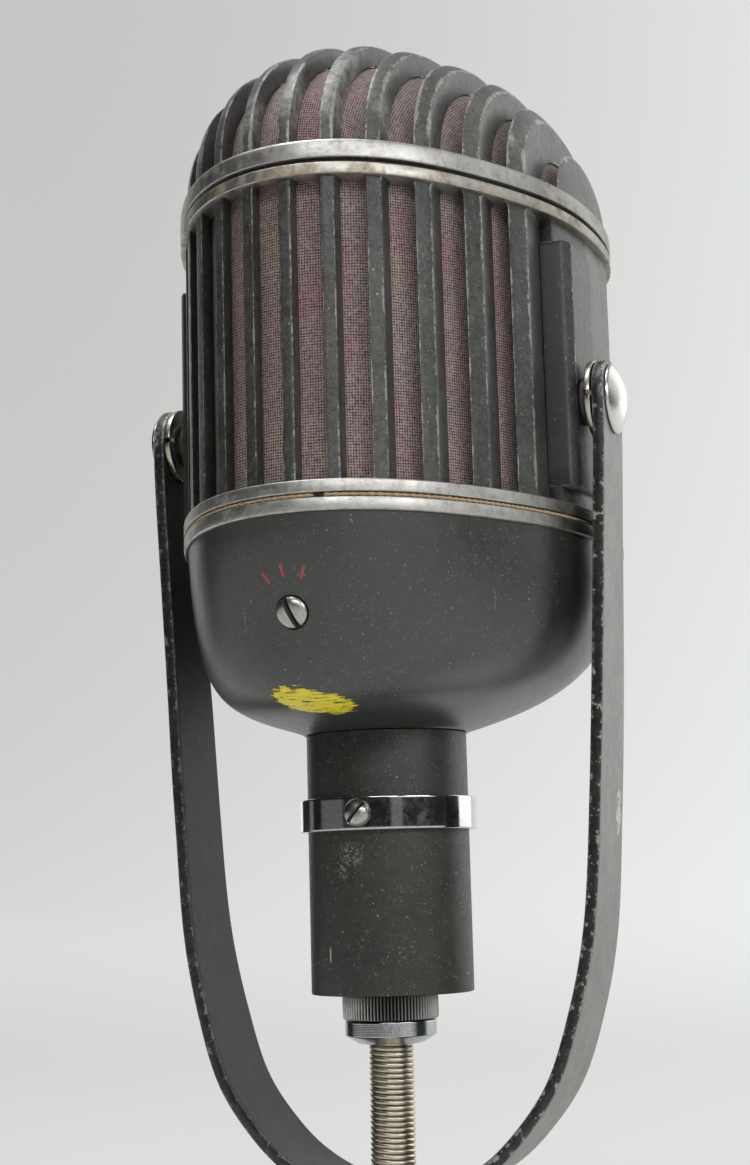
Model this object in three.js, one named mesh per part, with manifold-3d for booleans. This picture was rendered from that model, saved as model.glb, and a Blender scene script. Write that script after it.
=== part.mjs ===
// Oval cage microphone on a stirrup fork: ribbon and moving-coil elements under a
// ribbed dome, a screwdriver selector in the bowl, a plug housing held by a clamp band.
// Units are millimetres, +Z up, +X to the right along the tilt axis, -Y to the front.
// The origin is the centre of the stand socket's mouth under the fork.
import * as THREE from 'three';
import { mergeVertices } from 'three/addons/utils/BufferGeometryUtils.js';
import Module from 'manifold-3d';

const wasm = await Module();
wasm.setup();

// ---------- driving dimensions ----------
const PIVOT_Z = 212.3;             // height of the tilt axis
const GAP = 0.3;                   // clearance between touching pieces
// head, plan outline: radius about (0, OUT_CY), front is theta = 0
const OUT_CY = 8;
const OUT_R = [63.001, -3.273, 8.826, 2.098, 0.645, 0.911, 0.109];
const OUT_WIDEN = 1.005;           // makes the overall width 111
const OUT_N = 44;
// head, levels
const DOME_RING_TOP = 266.6, DOME_RING_BOT = 262.1;
const CAGE_TOP = 260.9, CAGE_TOP_RING = 258.1;
const CAGE_LOW_RING = 185.4, CAGE_BOT = 182.4;
const BOWL_TOP = 181.2, BOWL_RING_BOT = 178.0, BOWL_NECK_Z = 131.4;
const DOME_H = 43.0;               // crown above the dome ring
const RING_IN = 5.2;               // radial width of the rings
const BAR_INSET = 1.3, RIB_DEPTH = 4.7;
const BAR_X = [0, 10.2, 20.0, 29.3, 37.8, 45.1];
const BAR_W = 3.1;
const DOME_SIDE_X = 51.2;            // end of the last slot on each side of the dome
const SCREEN_T = 0.8;
// side walls and pivot pads
const WALL_Y0 = -8.7, WALL_Y1 = 27, WALL_INSET = 2.0;
const PAD_X = 54.3, PAD_Y0 = -9.2, PAD_Y1 = 12.5, PAD_Z0 = 189.6, PAD_Z1 = 252.6;
const BACK_BAR_X = 51.4;
// neck, plug housing, clamp band
const NECK_CY = -2.9;
const SPIGOT_R = 18.3, SPIGOT_BORE = 15.6, SPIGOT_Z = 99;
const HOUSING_R = 20.2, HOUSING_BORE = 18.7, HOUSING_TOP = 131.0, HOUSING_BOT = 67.3;
const BAND_R = 22.2, BAND_Z0 = 106.9, BAND_Z1 = 115.0, CLAMP_Z = 111.0;
const KNURL_R = 11.9, KNURL_Z0 = 60.9, KNURL_Z1 = 66.9, FLUTES = 40;
const COLLAR_R = 11.4, COLLAR_Z0 = 55.1, COLLAR_Z1 = 60.6;
const PLUG_X = -0.8;               // the plug hangs a little off centre
const GUARD_R = 5.6, GUARD_BORE = 4.3, GUARD_TOP = 56.8, GUARD_END = 21.0;
// fork
const FORK_T = 3.05, FORK_W = 19.4, FORK_FLARE = 1.6, FORK_FLARE_BASE = 1.5;
const FORK_LEAN = 1.7;             // the arms bow this far to the back
const FORK_END_H = 9.8;            // rounded ends, above the tilt axis
const FORK_PROFILE = [[61.5, PIVOT_Z + FORK_END_H], [61.5, 204.3], [60.4, 180.3], [58.5, 144.3], [56.6, 112.3],
  [53.9, 81.3], [49.8, 62.3], [43.6, 44.8], [35.0, 32.9], [26.4, 25.0], [14.0, 18.7]];
const FORK_BASE = 16.3;            // underside of the fork at the middle
// stand adapter
const ADAPTER_R = 12.6, SOCKET_R = 7.8, SOCKET_DEPTH = 10.6, ADAPTER_TOP = 16.0;
// pivots
const BOLT_HEAD_R = 8.8, BOLT_HEAD_H = 3.6, BOLT_R = 2.9, WASHER_R = 10.0, BOSS_R = 6.1;
// selector
const SEL = [-2.7, -56.6, 156.2], SEL_TILT = 18.5 * Math.PI / 180;

// ---------- materials ----------
const mat = (color, metalness, roughness) => new THREE.MeshStandardMaterial({ color, metalness, roughness });
const M = {
  enamel: mat(0x4a4e4a, 0.3, 0.5), fork: mat(0x565a57, 0.3, 0.5), alu: mat(0x9c9c96, 0.8, 0.4),
  chrome: mat(0xd0d2d4, 1, 0.15), steel: mat(0xa8a8a6, 1, 0.3), nickel: mat(0xb3a68c, 1, 0.35),
  cloth: mat(0x6d4f55, 0, 0.95), felt: mat(0x1c1a18, 0, 1), cord: mat(0xa88a62, 0, 0.9),
  bakelite: mat(0x2a1d16, 0, 0.4), brass: mat(0xb59a55, 1, 0.35), magnet: mat(0x6d6f72, 0.8, 0.5),
  ribbon: mat(0xd8d8d8, 1, 0.3), paper: mat(0xb08d55, 0, 0.8),
};

// ---------- geometry helpers ----------
function triGeometry(pts, tris) {
  const g = new THREE.BufferGeometry();
  g.setAttribute('position', new THREE.Float32BufferAttribute(pts.flat(), 3));
  g.setIndex(tris.flat());
  return g;
}
function clean(geo) {
  let g = geo.clone();
  g.deleteAttribute('normal'); g.deleteAttribute('uv');
  g = mergeVertices(g, 1e-4);
  const p = g.attributes.position.array, src = g.index.array, idx = [];
  for (let i = 0; i < src.length; i += 3) {
    const [a, b, c] = [src[i], src[i + 1], src[i + 2]];
    if (a !== b && b !== c && a !== c) idx.push(a, b, c);
  }
  let vol = 0;
  for (let i = 0; i < idx.length; i += 3) {
    const [a, b, c] = [idx[i] * 3, idx[i + 1] * 3, idx[i + 2] * 3];
    vol += p[a] * (p[b + 1] * p[c + 2] - p[b + 2] * p[c + 1]) - p[a + 1] * (p[b] * p[c + 2] - p[b + 2] * p[c]) + p[a + 2] * (p[b] * p[c + 1] - p[b + 1] * p[c]);
  }
  if (vol < 0) for (let i = 0; i < idx.length; i += 3) [idx[i + 1], idx[i + 2]] = [idx[i + 2], idx[i + 1]];
  g.setIndex(idx);
  return g;
}
function solid(geo) {
  const g = clean(geo);
  return new wasm.Manifold(new wasm.Mesh({ numProp: 3, vertProperties: new Float32Array(g.attributes.position.array), triVerts: new Uint32Array(g.index.array) }));
}
function geometryOf(m) {
  const k = m.getMesh(), n = k.numProp, v = [];
  for (let i = 0; i < k.vertProperties.length; i += n) v.push(k.vertProperties[i], k.vertProperties[i + 1], k.vertProperties[i + 2]);
  const g = new THREE.BufferGeometry();
  g.setAttribute('position', new THREE.Float32BufferAttribute(v, 3));
  g.setIndex(Array.from(k.triVerts));
  return g;
}
// skin between closed rings of points; wrap closes the last ring to the first, else poles or fans end it
function skin(rings, { wrap = false, start = null, end = null } = {}) {
  const pts = [], tris = [], n = rings[0].length;
  rings.forEach(r => r.forEach(p => pts.push(p)));
  const R = rings.length;
  for (let i = 0; i < (wrap ? R : R - 1); i++) {
    const a = i * n, b = ((i + 1) % R) * n;
    for (let j = 0; j < n; j++) { const k = (j + 1) % n; tris.push([a + j, a + k, b + k], [a + j, b + k, b + j]); }
  }
  if (start) { const s = pts.push(start) - 1; for (let j = 0; j < n; j++) tris.push([s, (j + 1) % n, j]); }
  if (end) { const e = pts.push(end) - 1, a = (R - 1) * n; for (let j = 0; j < n; j++) tris.push([e, a + j, a + (j + 1) % n]); }
  return triGeometry(pts, tris);
}
const outR = t => OUT_R.reduce((s, c, k) => s + c * Math.cos(k * t), 0);
function outXY(t, inset = 0) {
  const at = a => [OUT_WIDEN * outR(a) * Math.sin(a), OUT_CY - outR(a) * Math.cos(a)];
  const [x, y] = at(t);
  const e = 1e-3, [x2, y2] = at(t + e), L = Math.hypot(x2 - x, y2 - y);
  return [x - (y2 - y) / L * inset, y + (x2 - x) / L * inset];
}
const angles = Array.from({ length: OUT_N }, (_, i) => 2 * Math.PI * i / OUT_N);
const ovalRing = (inset, z) => angles.map(t => [...outXY(t, inset), z]);
const ovalTube = (i0, i1, z0, z1) => skin([ovalRing(i0, z0), ovalRing(i0, z1), ovalRing(i1, z1), ovalRing(i1, z0)], { wrap: true });
const ovalPlate = (inset, z0, z1) => skin([ovalRing(inset, z0), ovalRing(inset, z1)], { start: [0, OUT_CY, z0], end: [0, OUT_CY, z1] });
const box = (x0, x1, y0, y1, z0, z1) => new THREE.BoxGeometry(x1 - x0, y1 - y0, z1 - z0).translate((x0 + x1) / 2, (y0 + y1) / 2, (z0 + z1) / 2);
// closed lathe about +Z; pts are [radius, z]
function lathe(pts, seg = 32) {
  const p = pts.map(([r, z]) => new THREE.Vector2(r, z));
  if (pts[0][0] > 0 || pts[pts.length - 1][0] > 0) p.push(p[0].clone());
  return new THREE.LatheGeometry(p, seg).rotateX(Math.PI / 2);
}
const rod = (r, z0, z1, seg = 20) => new THREE.CylinderGeometry(r, r, z1 - z0, seg).rotateX(Math.PI / 2).translate(0, 0, (z0 + z1) / 2);
const extrude = (shape, depth) => new THREE.ExtrudeGeometry(shape, { depth, bevelEnabled: false, steps: 1 });
function polygon(pts) { const s = new THREE.Shape(); pts.forEach(([x, y], i) => i ? s.lineTo(x, y) : s.moveTo(x, y)); s.closePath(); return s; }
const cut = (a, ...b) => b.reduce((s, g) => s.subtract(g.getMesh ? g : solid(g)), a.getMesh ? a : solid(a));
const join = (a, ...b) => b.reduce((s, g) => s.add(g.getMesh ? g : solid(g)), a.getMesh ? a : solid(a));

const microphone = new THREE.Group();
const head = new THREE.Group(), fork = new THREE.Group();
microphone.add(fork, head);
function add(parent, name, g, material) {
  const geo = clean(g.getMesh ? geometryOf(g) : g);
  const mesh = new THREE.Mesh(geo, material);
  mesh.name = name;
  parent.add(mesh);
  return mesh;
}

// ---------- fork ----------
{
  const right = FORK_PROFILE.map(([x, z]) => new THREE.Vector3(x, 0, z));
  const left = FORK_PROFILE.map(([x, z]) => new THREE.Vector3(-x, 0, z)).reverse();
  const curve = new THREE.CatmullRomCurve3([...right, new THREE.Vector3(0, 0, FORK_BASE), ...left], false, 'centripetal');
  const N = 36, rings = [];
  const smooth = THREE.MathUtils.smoothstep;
  const station = (px, pz, nx, nz, w, c = 0) => [
    [px, c - w, pz], [px, c + w, pz], [px - nx * FORK_T, c + w, pz - nz * FORK_T], [px - nx * FORK_T, c - w, pz - nz * FORK_T]];
  const capSteps = [0.998, 0.96, 0.86, 0.7, 0.5, 0.26];
  for (const s of capSteps) rings.push(station(61.5, PIVOT_Z + FORK_END_H * s, 1, 0, FORK_W / 2 * Math.sqrt(1 - s * s)));
  const top = PIVOT_Z;
  const all = [];
  for (let i = 0; i <= N; i++) {
    const u = i / N, p = curve.getPointAt(u), t = curve.getTangentAt(u);
    if (p.z > top) continue;
    const w = FORK_W / 2 + FORK_FLARE * smooth(204 - p.z, 0, 90) + FORK_FLARE_BASE * smooth(110 - p.z, 0, 60);
    const c = FORK_LEAN * smooth(205 - p.z, 0, 70) * (1 - smooth(75 - p.z, 0, 50));
    all.push(station(p.x, p.z, -t.z, t.x, w, c));
  }
  rings.push(station(61.5, top, 1, 0, FORK_W / 2), ...all, station(-61.5, top, -1, 0, FORK_W / 2));
  for (const s of capSteps.slice().reverse()) rings.push(station(-61.5, PIVOT_Z + FORK_END_H * s, -1, 0, FORK_W / 2 * Math.sqrt(1 - s * s)));
  const first = rings[0], last = rings[rings.length - 1];
  const mid = r => [0, 1, 2].map(k => r.reduce((s, p) => s + p[k], 0) / 4);
  let body = solid(skin(rings, { start: mid(first), end: mid(last) }));
  const pin = new THREE.CylinderGeometry(BOLT_R + GAP, BOLT_R + GAP, 140, 20).rotateZ(Math.PI / 2).translate(0, 0, PIVOT_Z);
  const sink = lathe([[0, FORK_BASE - 2], [3.2, FORK_BASE - 2], [3.2, FORK_BASE + 0.15], [6.6, FORK_BASE + 3.4], [6.6, FORK_BASE + 6], [0, FORK_BASE + 6]], 24);
  add(fork, 'fork', cut(body, pin, sink), M.fork);
  // stand adapter: socket below, tapped top
  const adapter = cut(lathe([[0, ADAPTER_TOP], [8.2, ADAPTER_TOP], [10.4, ADAPTER_TOP - 1.6], [ADAPTER_R, ADAPTER_TOP - 3.4], [ADAPTER_R, 0.8], [ADAPTER_R - 0.8, 0], [0, 0]], 32),
    rod(SOCKET_R, -1, SOCKET_DEPTH, 24), rod(2.9, SOCKET_DEPTH - 1, ADAPTER_TOP + 1, 20));
  add(fork, 'stand_adapter', adapter, M.steel);
  const screwTop = FORK_BASE + FORK_T - 0.15;
  const screw = cut(lathe([[0, screwTop], [5.75, screwTop], [2.6, screwTop - 2.6], [2.6, SOCKET_DEPTH + 0.4], [0, SOCKET_DEPTH + 0.4]], 24),
    box(-7, 7, -0.7, 0.7, screwTop - 1.0, screwTop + 2));
  add(fork, 'adapter_screw', screw, M.steel);
}

// ---------- windows between bars and ribs ----------
function windowBoxes(z0, z1, yEnd) {
  const out = [];
  for (const side of [1, -1]) {
    for (let i = 0; i < BAR_X.length - 1; i++) {
      const a = BAR_X[i] + BAR_W / 2, b = BAR_X[i + 1] - BAR_W / 2;
      out.push(side > 0 ? [a, b] : [-b, -a]);
    }
  }
  return out.map(([a, b]) => box(a, b, -yEnd, yEnd + 40, z0, z1));
}

// ---------- dome cage ----------
const domeRing = (inset, H, phi, z0) => {
  const s = Math.pow(Math.cos(phi), 2 / 2.1), h = Math.pow(Math.sin(phi), 2 / 2.1);
  return angles.map(t => { const [x, y] = outXY(t, inset); return [x * s, OUT_CY + (y - OUT_CY) * s, z0 + H * h]; });
};
const PHI = [0, 0.18, 0.42, 0.72, 1.04, 1.34];
function domeCup(i0, H0, i1, H1, zb, zs) {
  const outer = PHI.map(f => domeRing(i0, H0, f, zs)), inner = PHI.map(f => domeRing(i1, H1, f, zs));
  return skin([...outer.slice().reverse(), ovalRing(i0, zb), ovalRing(i1, zb), ...inner],
    { start: [0, OUT_CY, zs + H0], end: [0, OUT_CY, zs + H1] });
}
{
  let shell = solid(domeCup(BAR_INSET, DOME_H, BAR_INSET + RIB_DEPTH, DOME_H - RIB_DEPTH, DOME_RING_TOP - 1, DOME_RING_TOP));
  for (const w of windowBoxes(DOME_RING_TOP, 330, 80)) shell = cut(shell, w);
  const slotIn = BAR_X[5] + BAR_W / 2;
  const sideCut = s => box(s > 0 ? slotIn : -DOME_SIDE_X, s > 0 ? DOME_SIDE_X : -slotIn, -80, 120, DOME_RING_TOP, 330);
  shell = cut(shell, sideCut(1), sideCut(-1));
  const ring = ovalTube(0, RING_IN + 0.4, DOME_RING_BOT, DOME_RING_TOP);
  add(head, 'dome_cage', join(ring, shell), M.enamel);
  add(head, 'dome_screen', domeCup(BAR_INSET + RIB_DEPTH + GAP, DOME_H - RIB_DEPTH - GAP, BAR_INSET + RIB_DEPTH + GAP + SCREEN_T, DOME_H - RIB_DEPTH - GAP - SCREEN_T, DOME_RING_BOT + 0.6, DOME_RING_TOP), M.cloth);
  add(head, 'dome_gasket', ovalTube(1.4, RING_IN, CAGE_TOP + GAP, DOME_RING_BOT - GAP), M.felt);
}

// ---------- body cage ----------
{
  let wall = solid(ovalTube(BAR_INSET, RING_IN, CAGE_BOT + 1, CAGE_TOP - 1));
  for (const w of windowBoxes(CAGE_LOW_RING, CAGE_TOP_RING, 100)) wall = cut(wall, w);
  for (const s of [1, -1]) {
    const b = (x0, x1, y0, y1) => s > 0 ? box(x0, x1, y0, y1, CAGE_LOW_RING, CAGE_TOP_RING) : box(-x1, -x0, y0, y1, CAGE_LOW_RING, CAGE_TOP_RING);
    const far = (x0, x1, y0, y1) => box(s > 0 ? x0 : -x1, s > 0 ? x1 : -x0, y0, y1, CAGE_BOT - 1, CAGE_TOP + 1);
    const recess = cut(ovalTube(-1, WALL_INSET, CAGE_BOT, CAGE_TOP), far(-80, 40, -90, 110), far(40, 80, -90, WALL_Y0 - 0.4), far(40, 80, WALL_Y1 + 0.4, 110));
    wall = cut(wall, recess, b(BAR_X[5] + BAR_W / 2, 60, -60, WALL_Y0), b(BAR_X[5] + BAR_W / 2, BACK_BAR_X - BAR_W / 2, WALL_Y1, 90), b(BACK_BAR_X + BAR_W / 2, 62, WALL_Y1, 90));
  }
  const rings = [ovalTube(0, RING_IN, CAGE_BOT, CAGE_LOW_RING), ovalTube(0, RING_IN, CAGE_TOP_RING, CAGE_TOP)];
  const pads = [1, -1].map(s => {
    const g = extrude(polygon([[47.6, PAD_Y0], [PAD_X - 1.9, PAD_Y0], [PAD_X, PAD_Y0 + 2.5], [PAD_X, PAD_Y1], [47.6, PAD_Y1]].map(([x, y]) => [s * x, y])), PAD_Z1 - PAD_Z0).translate(0, 0, PAD_Z0);
    return g;
  });
  let cage = join(wall, ...rings, ...pads);
  cage = cut(cage, new THREE.CylinderGeometry(BOLT_R + GAP, BOLT_R + GAP, 140, 20).rotateZ(Math.PI / 2).translate(0, 0, PIVOT_Z));
  // clear the screen behind the pads
  cage = cut(cage, solid(skin([ovalRing(RING_IN, CAGE_BOT - 1), ovalRing(RING_IN, CAGE_TOP + 1)], { start: [0, OUT_CY, CAGE_BOT - 1], end: [0, OUT_CY, CAGE_TOP + 1] })));
  add(head, 'body_cage', cage, M.enamel);
  const screen = cut(ovalTube(RING_IN + GAP, RING_IN + GAP + SCREEN_T, CAGE_BOT + 0.2, CAGE_TOP - 0.2),
    new THREE.CylinderGeometry(BOLT_R + 1.2, BOLT_R + 1.2, 140, 16).rotateZ(Math.PI / 2).translate(0, 0, PIVOT_Z));
  add(head, 'body_screen', screen, M.cloth);
  add(head, 'seam_cord', ovalTube(0.5, 2.6, BOWL_TOP + GAP, CAGE_BOT - GAP), M.cord);
}

// ---------- bowl ----------
const BOWL_Z0 = 178.3, BOWL_END = 131.3, S_NECK = 0.383, SY_NECK = 0.44;
function bowlRing(s, inset, drop) {
  const mx = 2.7, my = 1.6, tN = Math.pow(1 - Math.pow(S_NECK, mx), 1 / mx), tNy = Math.pow(1 - Math.pow(SY_NECK, my), 1 / my);
  const t = Math.pow(Math.max(0, 1 - Math.pow(s, mx)), 1 / mx) / tN;
  const sy = Math.pow(Math.max(0, 1 - Math.pow(t * tNy, my)), 1 / my);
  const u = (1 - s) / (1 - S_NECK), b = Math.pow(u, 4), neckR = 20.8 - inset + 1.2;
  const cy = OUT_CY + (NECK_CY - OUT_CY) * u - 40 * u * (1 - u);
  const z = BOWL_Z0 - (BOWL_Z0 - BOWL_END) * t + drop * t;
  return angles.map(a => {
    const [x, y] = outXY(a, inset);
    return [(1 - b) * s * x + b * neckR * Math.sin(a), (1 - b) * (cy + sy * (y - OUT_CY)) + b * (NECK_CY - neckR * Math.cos(a)), z];
  });
}
const BOWL_S = [1, 0.97, 0.9, 0.78, 0.62, 0.48, S_NECK];
const outerBowl = BOWL_S.map(s => bowlRing(s, 1.2, 0)), innerBowl = BOWL_S.map(s => bowlRing(s, 4.2, 2.8));
const circleRing = (r, z) => angles.map(a => [r * Math.sin(a), NECK_CY - r * Math.cos(a), z]);
const SEL_AXIS = new THREE.Vector3(0, -Math.cos(SEL_TILT), -Math.sin(SEL_TILT));
// places a shape modelled along +Z (outwards) on the selector axis
const onSelector = g => g.applyMatrix4(new THREE.Matrix4().compose(new THREE.Vector3(...SEL), new THREE.Quaternion().setFromUnitVectors(new THREE.Vector3(0, 0, 1), SEL_AXIS), new THREE.Vector3(1, 1, 1)));
{
  let bowl = solid(skin([ovalRing(0, BOWL_TOP), ovalRing(0, BOWL_RING_BOT + 0.3), ovalRing(1.2, BOWL_RING_BOT), ...outerBowl.slice(1),
    circleRing(SPIGOT_R, BOWL_END), circleRing(SPIGOT_R, SPIGOT_Z), circleRing(SPIGOT_BORE, SPIGOT_Z),
    circleRing(SPIGOT_BORE, BOWL_END + 3.2), ...innerBowl.slice(1, -1).reverse(), ovalRing(4.2, BOWL_RING_BOT), ovalRing(RING_IN, BOWL_TOP)], { wrap: true }));
  bowl = cut(bowl, onSelector(rod(4.2, -1.5, 8, 24)), onSelector(rod(2.4, -12, 2, 20)),
    new THREE.CylinderGeometry(2.0, 2.0, 30, 16).translate(0, NECK_CY - 22, CLAMP_Z));
  add(head, 'bowl', bowl, M.enamel);
}

// ---------- plug housing, clamp band ----------
{
  let tube = solid(lathe([[HOUSING_R - 0.4, HOUSING_BOT], [HOUSING_R, HOUSING_BOT + 0.4], [HOUSING_R, HOUSING_TOP], [HOUSING_BORE, HOUSING_TOP], [HOUSING_BORE, HOUSING_BOT + 2.4], [9.2, HOUSING_BOT + 2.4], [9.2, HOUSING_BOT]], 48).translate(0, NECK_CY, 0));
  tube = cut(tube, new THREE.CylinderGeometry(2.0, 2.0, 10, 16).translate(0, NECK_CY - 19.5, CLAMP_Z),
    box(-0.7, 0.7, NECK_CY + 15, NECK_CY + 25, 104, HOUSING_TOP + 1));
  add(head, 'plug_housing', tube, M.enamel);
  let band = solid(lathe([[HOUSING_R + GAP, BAND_Z0], [BAND_R - 0.3, BAND_Z0], [BAND_R, BAND_Z0 + 0.3], [BAND_R, BAND_Z1 - 0.3], [BAND_R - 0.3, BAND_Z1], [HOUSING_R + GAP, BAND_Z1]], 48).translate(0, NECK_CY, 0));
  band = cut(band, new THREE.CylinderGeometry(2.0, 2.0, 8, 16).translate(0, NECK_CY - 21.4, CLAMP_Z), box(-3.45, 3.45, NECK_CY - 24, NECK_CY - 21.8, CLAMP_Z - 3.45, CLAMP_Z + 3.45));
  add(head, 'clamp_band', band, M.chrome);
  // screw modelled along +Y inwards, head at the front
  const headY = NECK_CY - 21.8 - GAP;
  const screw = cut(lathe([[0, 2.1], [1.7, 2.0], [2.7, 1.5], [3.15, 0.6], [3.15, 0], [1.6, 0], [1.6, -6.2], [0, -6.2]], 24), box(-4, 4, -0.5, 0.5, 0.5, 4));
  add(head, 'clamp_screw', geometryOf(screw).rotateZ(0.85).rotateX(Math.PI / 2).translate(0, headY, CLAMP_Z), M.chrome);
}

// ---------- plug below the housing ----------
{
  const flutes = [];
  for (let i = 0; i < FLUTES * 2; i++) { const a = Math.PI * i / FLUTES, r = i % 2 ? KNURL_R : KNURL_R - 0.55; flutes.push([r * Math.cos(a), r * Math.sin(a)]); }
  const s = polygon(flutes);
  const hole = new THREE.Path(); hole.absarc(0, 0, 6.4, 0, 2 * Math.PI, true); s.holes.push(hole);
  const knurl = new THREE.ExtrudeGeometry(s, { depth: KNURL_Z1 - KNURL_Z0, bevelEnabled: false, curveSegments: 16 }).translate(PLUG_X, NECK_CY, KNURL_Z0);
  add(head, 'knurled_ring', knurl, M.steel);
  // gland: collar below, threaded barrel up through the ring into the housing, held by a flange inside
  const gland = lathe([[GUARD_BORE, GUARD_TOP + GAP], [GUARD_R + GAP, GUARD_TOP + GAP], [GUARD_R + GAP, COLLAR_Z0], [7.6, COLLAR_Z0], [COLLAR_R, COLLAR_Z0 + 1.9], [COLLAR_R, COLLAR_Z1], [6.1, COLLAR_Z1], [6.1, HOUSING_BOT + 2.7], [12.2, HOUSING_BOT + 2.7], [12.2, HOUSING_BOT + 4.6], [GUARD_BORE, HOUSING_BOT + 4.6]], 32).translate(PLUG_X, NECK_CY, 0);
  add(head, 'gland_collar', gland, M.chrome);
  // spring guard, plain tube of the coil's outer size
  const pts = [];
  for (let i = 0; i <= 12; i++) { const f = i / 12; pts.push(new THREE.Vector3(PLUG_X + 0.9 * f * f, NECK_CY - 3.4 * f * f, GUARD_TOP - f * (GUARD_TOP - GUARD_END))); }
  const ringAt = (p, r) => Array.from({ length: 16 }, (_, j) => [p.x + r * Math.cos(2 * Math.PI * j / 16), p.y + r * Math.sin(2 * Math.PI * j / 16), p.z]);
  add(head, 'spring_guard', skin([...pts.map(p => ringAt(p, GUARD_R)), ...pts.slice().reverse().map(p => ringAt(p, GUARD_BORE))], { wrap: true }), M.nickel);
}

// ---------- contacts inside the neck ----------
{
  const PIN = [[6, 6], [-6, 6], [6, -6], [-6, -6]];
  const holes = (r, z0, z1) => PIN.map(([x, y]) => rod(r, z0, z1, 12).translate(x, NECK_CY + y, 0));
  add(head, 'contact_block', cut(rod(SPIGOT_BORE - GAP, 104, 112, 32).translate(0, NECK_CY, 0), ...holes(1.4, 100, 114)), M.bakelite);
  PIN.forEach(([x, y], i) => add(head, 'contact_pin_' + (i + 1), lathe([[0, 88], [0.7, 88.6], [1.05, 89.6], [1.05, 116], [0, 116]], 12).translate(x, NECK_CY + y, 0), M.brass));
  add(head, 'plug_block', cut(rod(14.8, 84, 96, 32).translate(0, NECK_CY, 0), ...holes(1.5, 80, 100)), M.bakelite);
}

// ---------- tilt pivots ----------
for (const s of [1, -1]) {
  const side = s > 0 ? 'right' : 'left';
  // modelled along +Z outwards from X = 0, then turned to +-X
  const turn = g => g.rotateY(s * Math.PI / 2).translate(0, 0, PIVOT_Z);
  const face = 61.5 + GAP;
  add(head, 'pivot_bolt_' + side, turn(lathe([[0, face + BOLT_HEAD_H], [2.6, face + BOLT_HEAD_H - 0.25], [5, face + BOLT_HEAD_H - 1.1], [7.2, face + BOLT_HEAD_H - 2.3], [BOLT_HEAD_R, face + 0.7], [BOLT_HEAD_R, face], [BOLT_R, face], [BOLT_R, 48.4], [0, 48.4]], 32)), M.chrome);
  const washer = cut(lathe([[BOLT_R + GAP, 56.6], [WASHER_R, 56.6], [WASHER_R, 58.15], [BOLT_R + GAP, 58.15]], 32), box(WASHER_R - 2.8, WASHER_R + 2, -0.7, 0.7, 55, 60));
  const notchToFront = geometryOf(washer).rotateZ(-Math.PI / 2);
  add(head, 'pivot_washer_' + side, turn(notchToFront), M.steel);
  add(head, 'pivot_boss_' + side, turn(lathe([[BOLT_R + GAP, PAD_X + GAP], [BOSS_R, PAD_X + GAP], [BOSS_R, 55.7], [BOSS_R - 0.7, 56.3], [BOLT_R + GAP, 56.3]], 28)), M.enamel);
}

// ---------- selector ----------
{
  const head_ = cut(lathe([[0, 1.5], [2.0, 1.35], [3.2, 0.9], [3.85, 0.2], [3.85, -1.1], [2.0, -1.1], [2.0, -12.5], [0, -12.5]], 28), box(-6, 6, -0.75, 0.75, 0, 4));
  add(head, 'selector_screw', onSelector(geometryOf(head_).rotateZ(-1.2)), M.steel);
  add(head, 'selector_rotor', onSelector(geometryOf(cut(lathe([[0, -16.6], [8.5, -16.6], [8.5, -15.2], [3.4, -15.2], [3.4, -12.8], [0, -12.8]], 24), box(5.2, 10, -2.2, 2.2, -18, -14)))), M.paper);
  add(head, 'selector_stator', onSelector(geometryOf(cut(lathe([[2.6, -19], [11, -19], [11, -17.2], [2.6, -17.2]], 28), box(-1, 1, 9, 12, -20, -16)))), M.paper);
}

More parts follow.
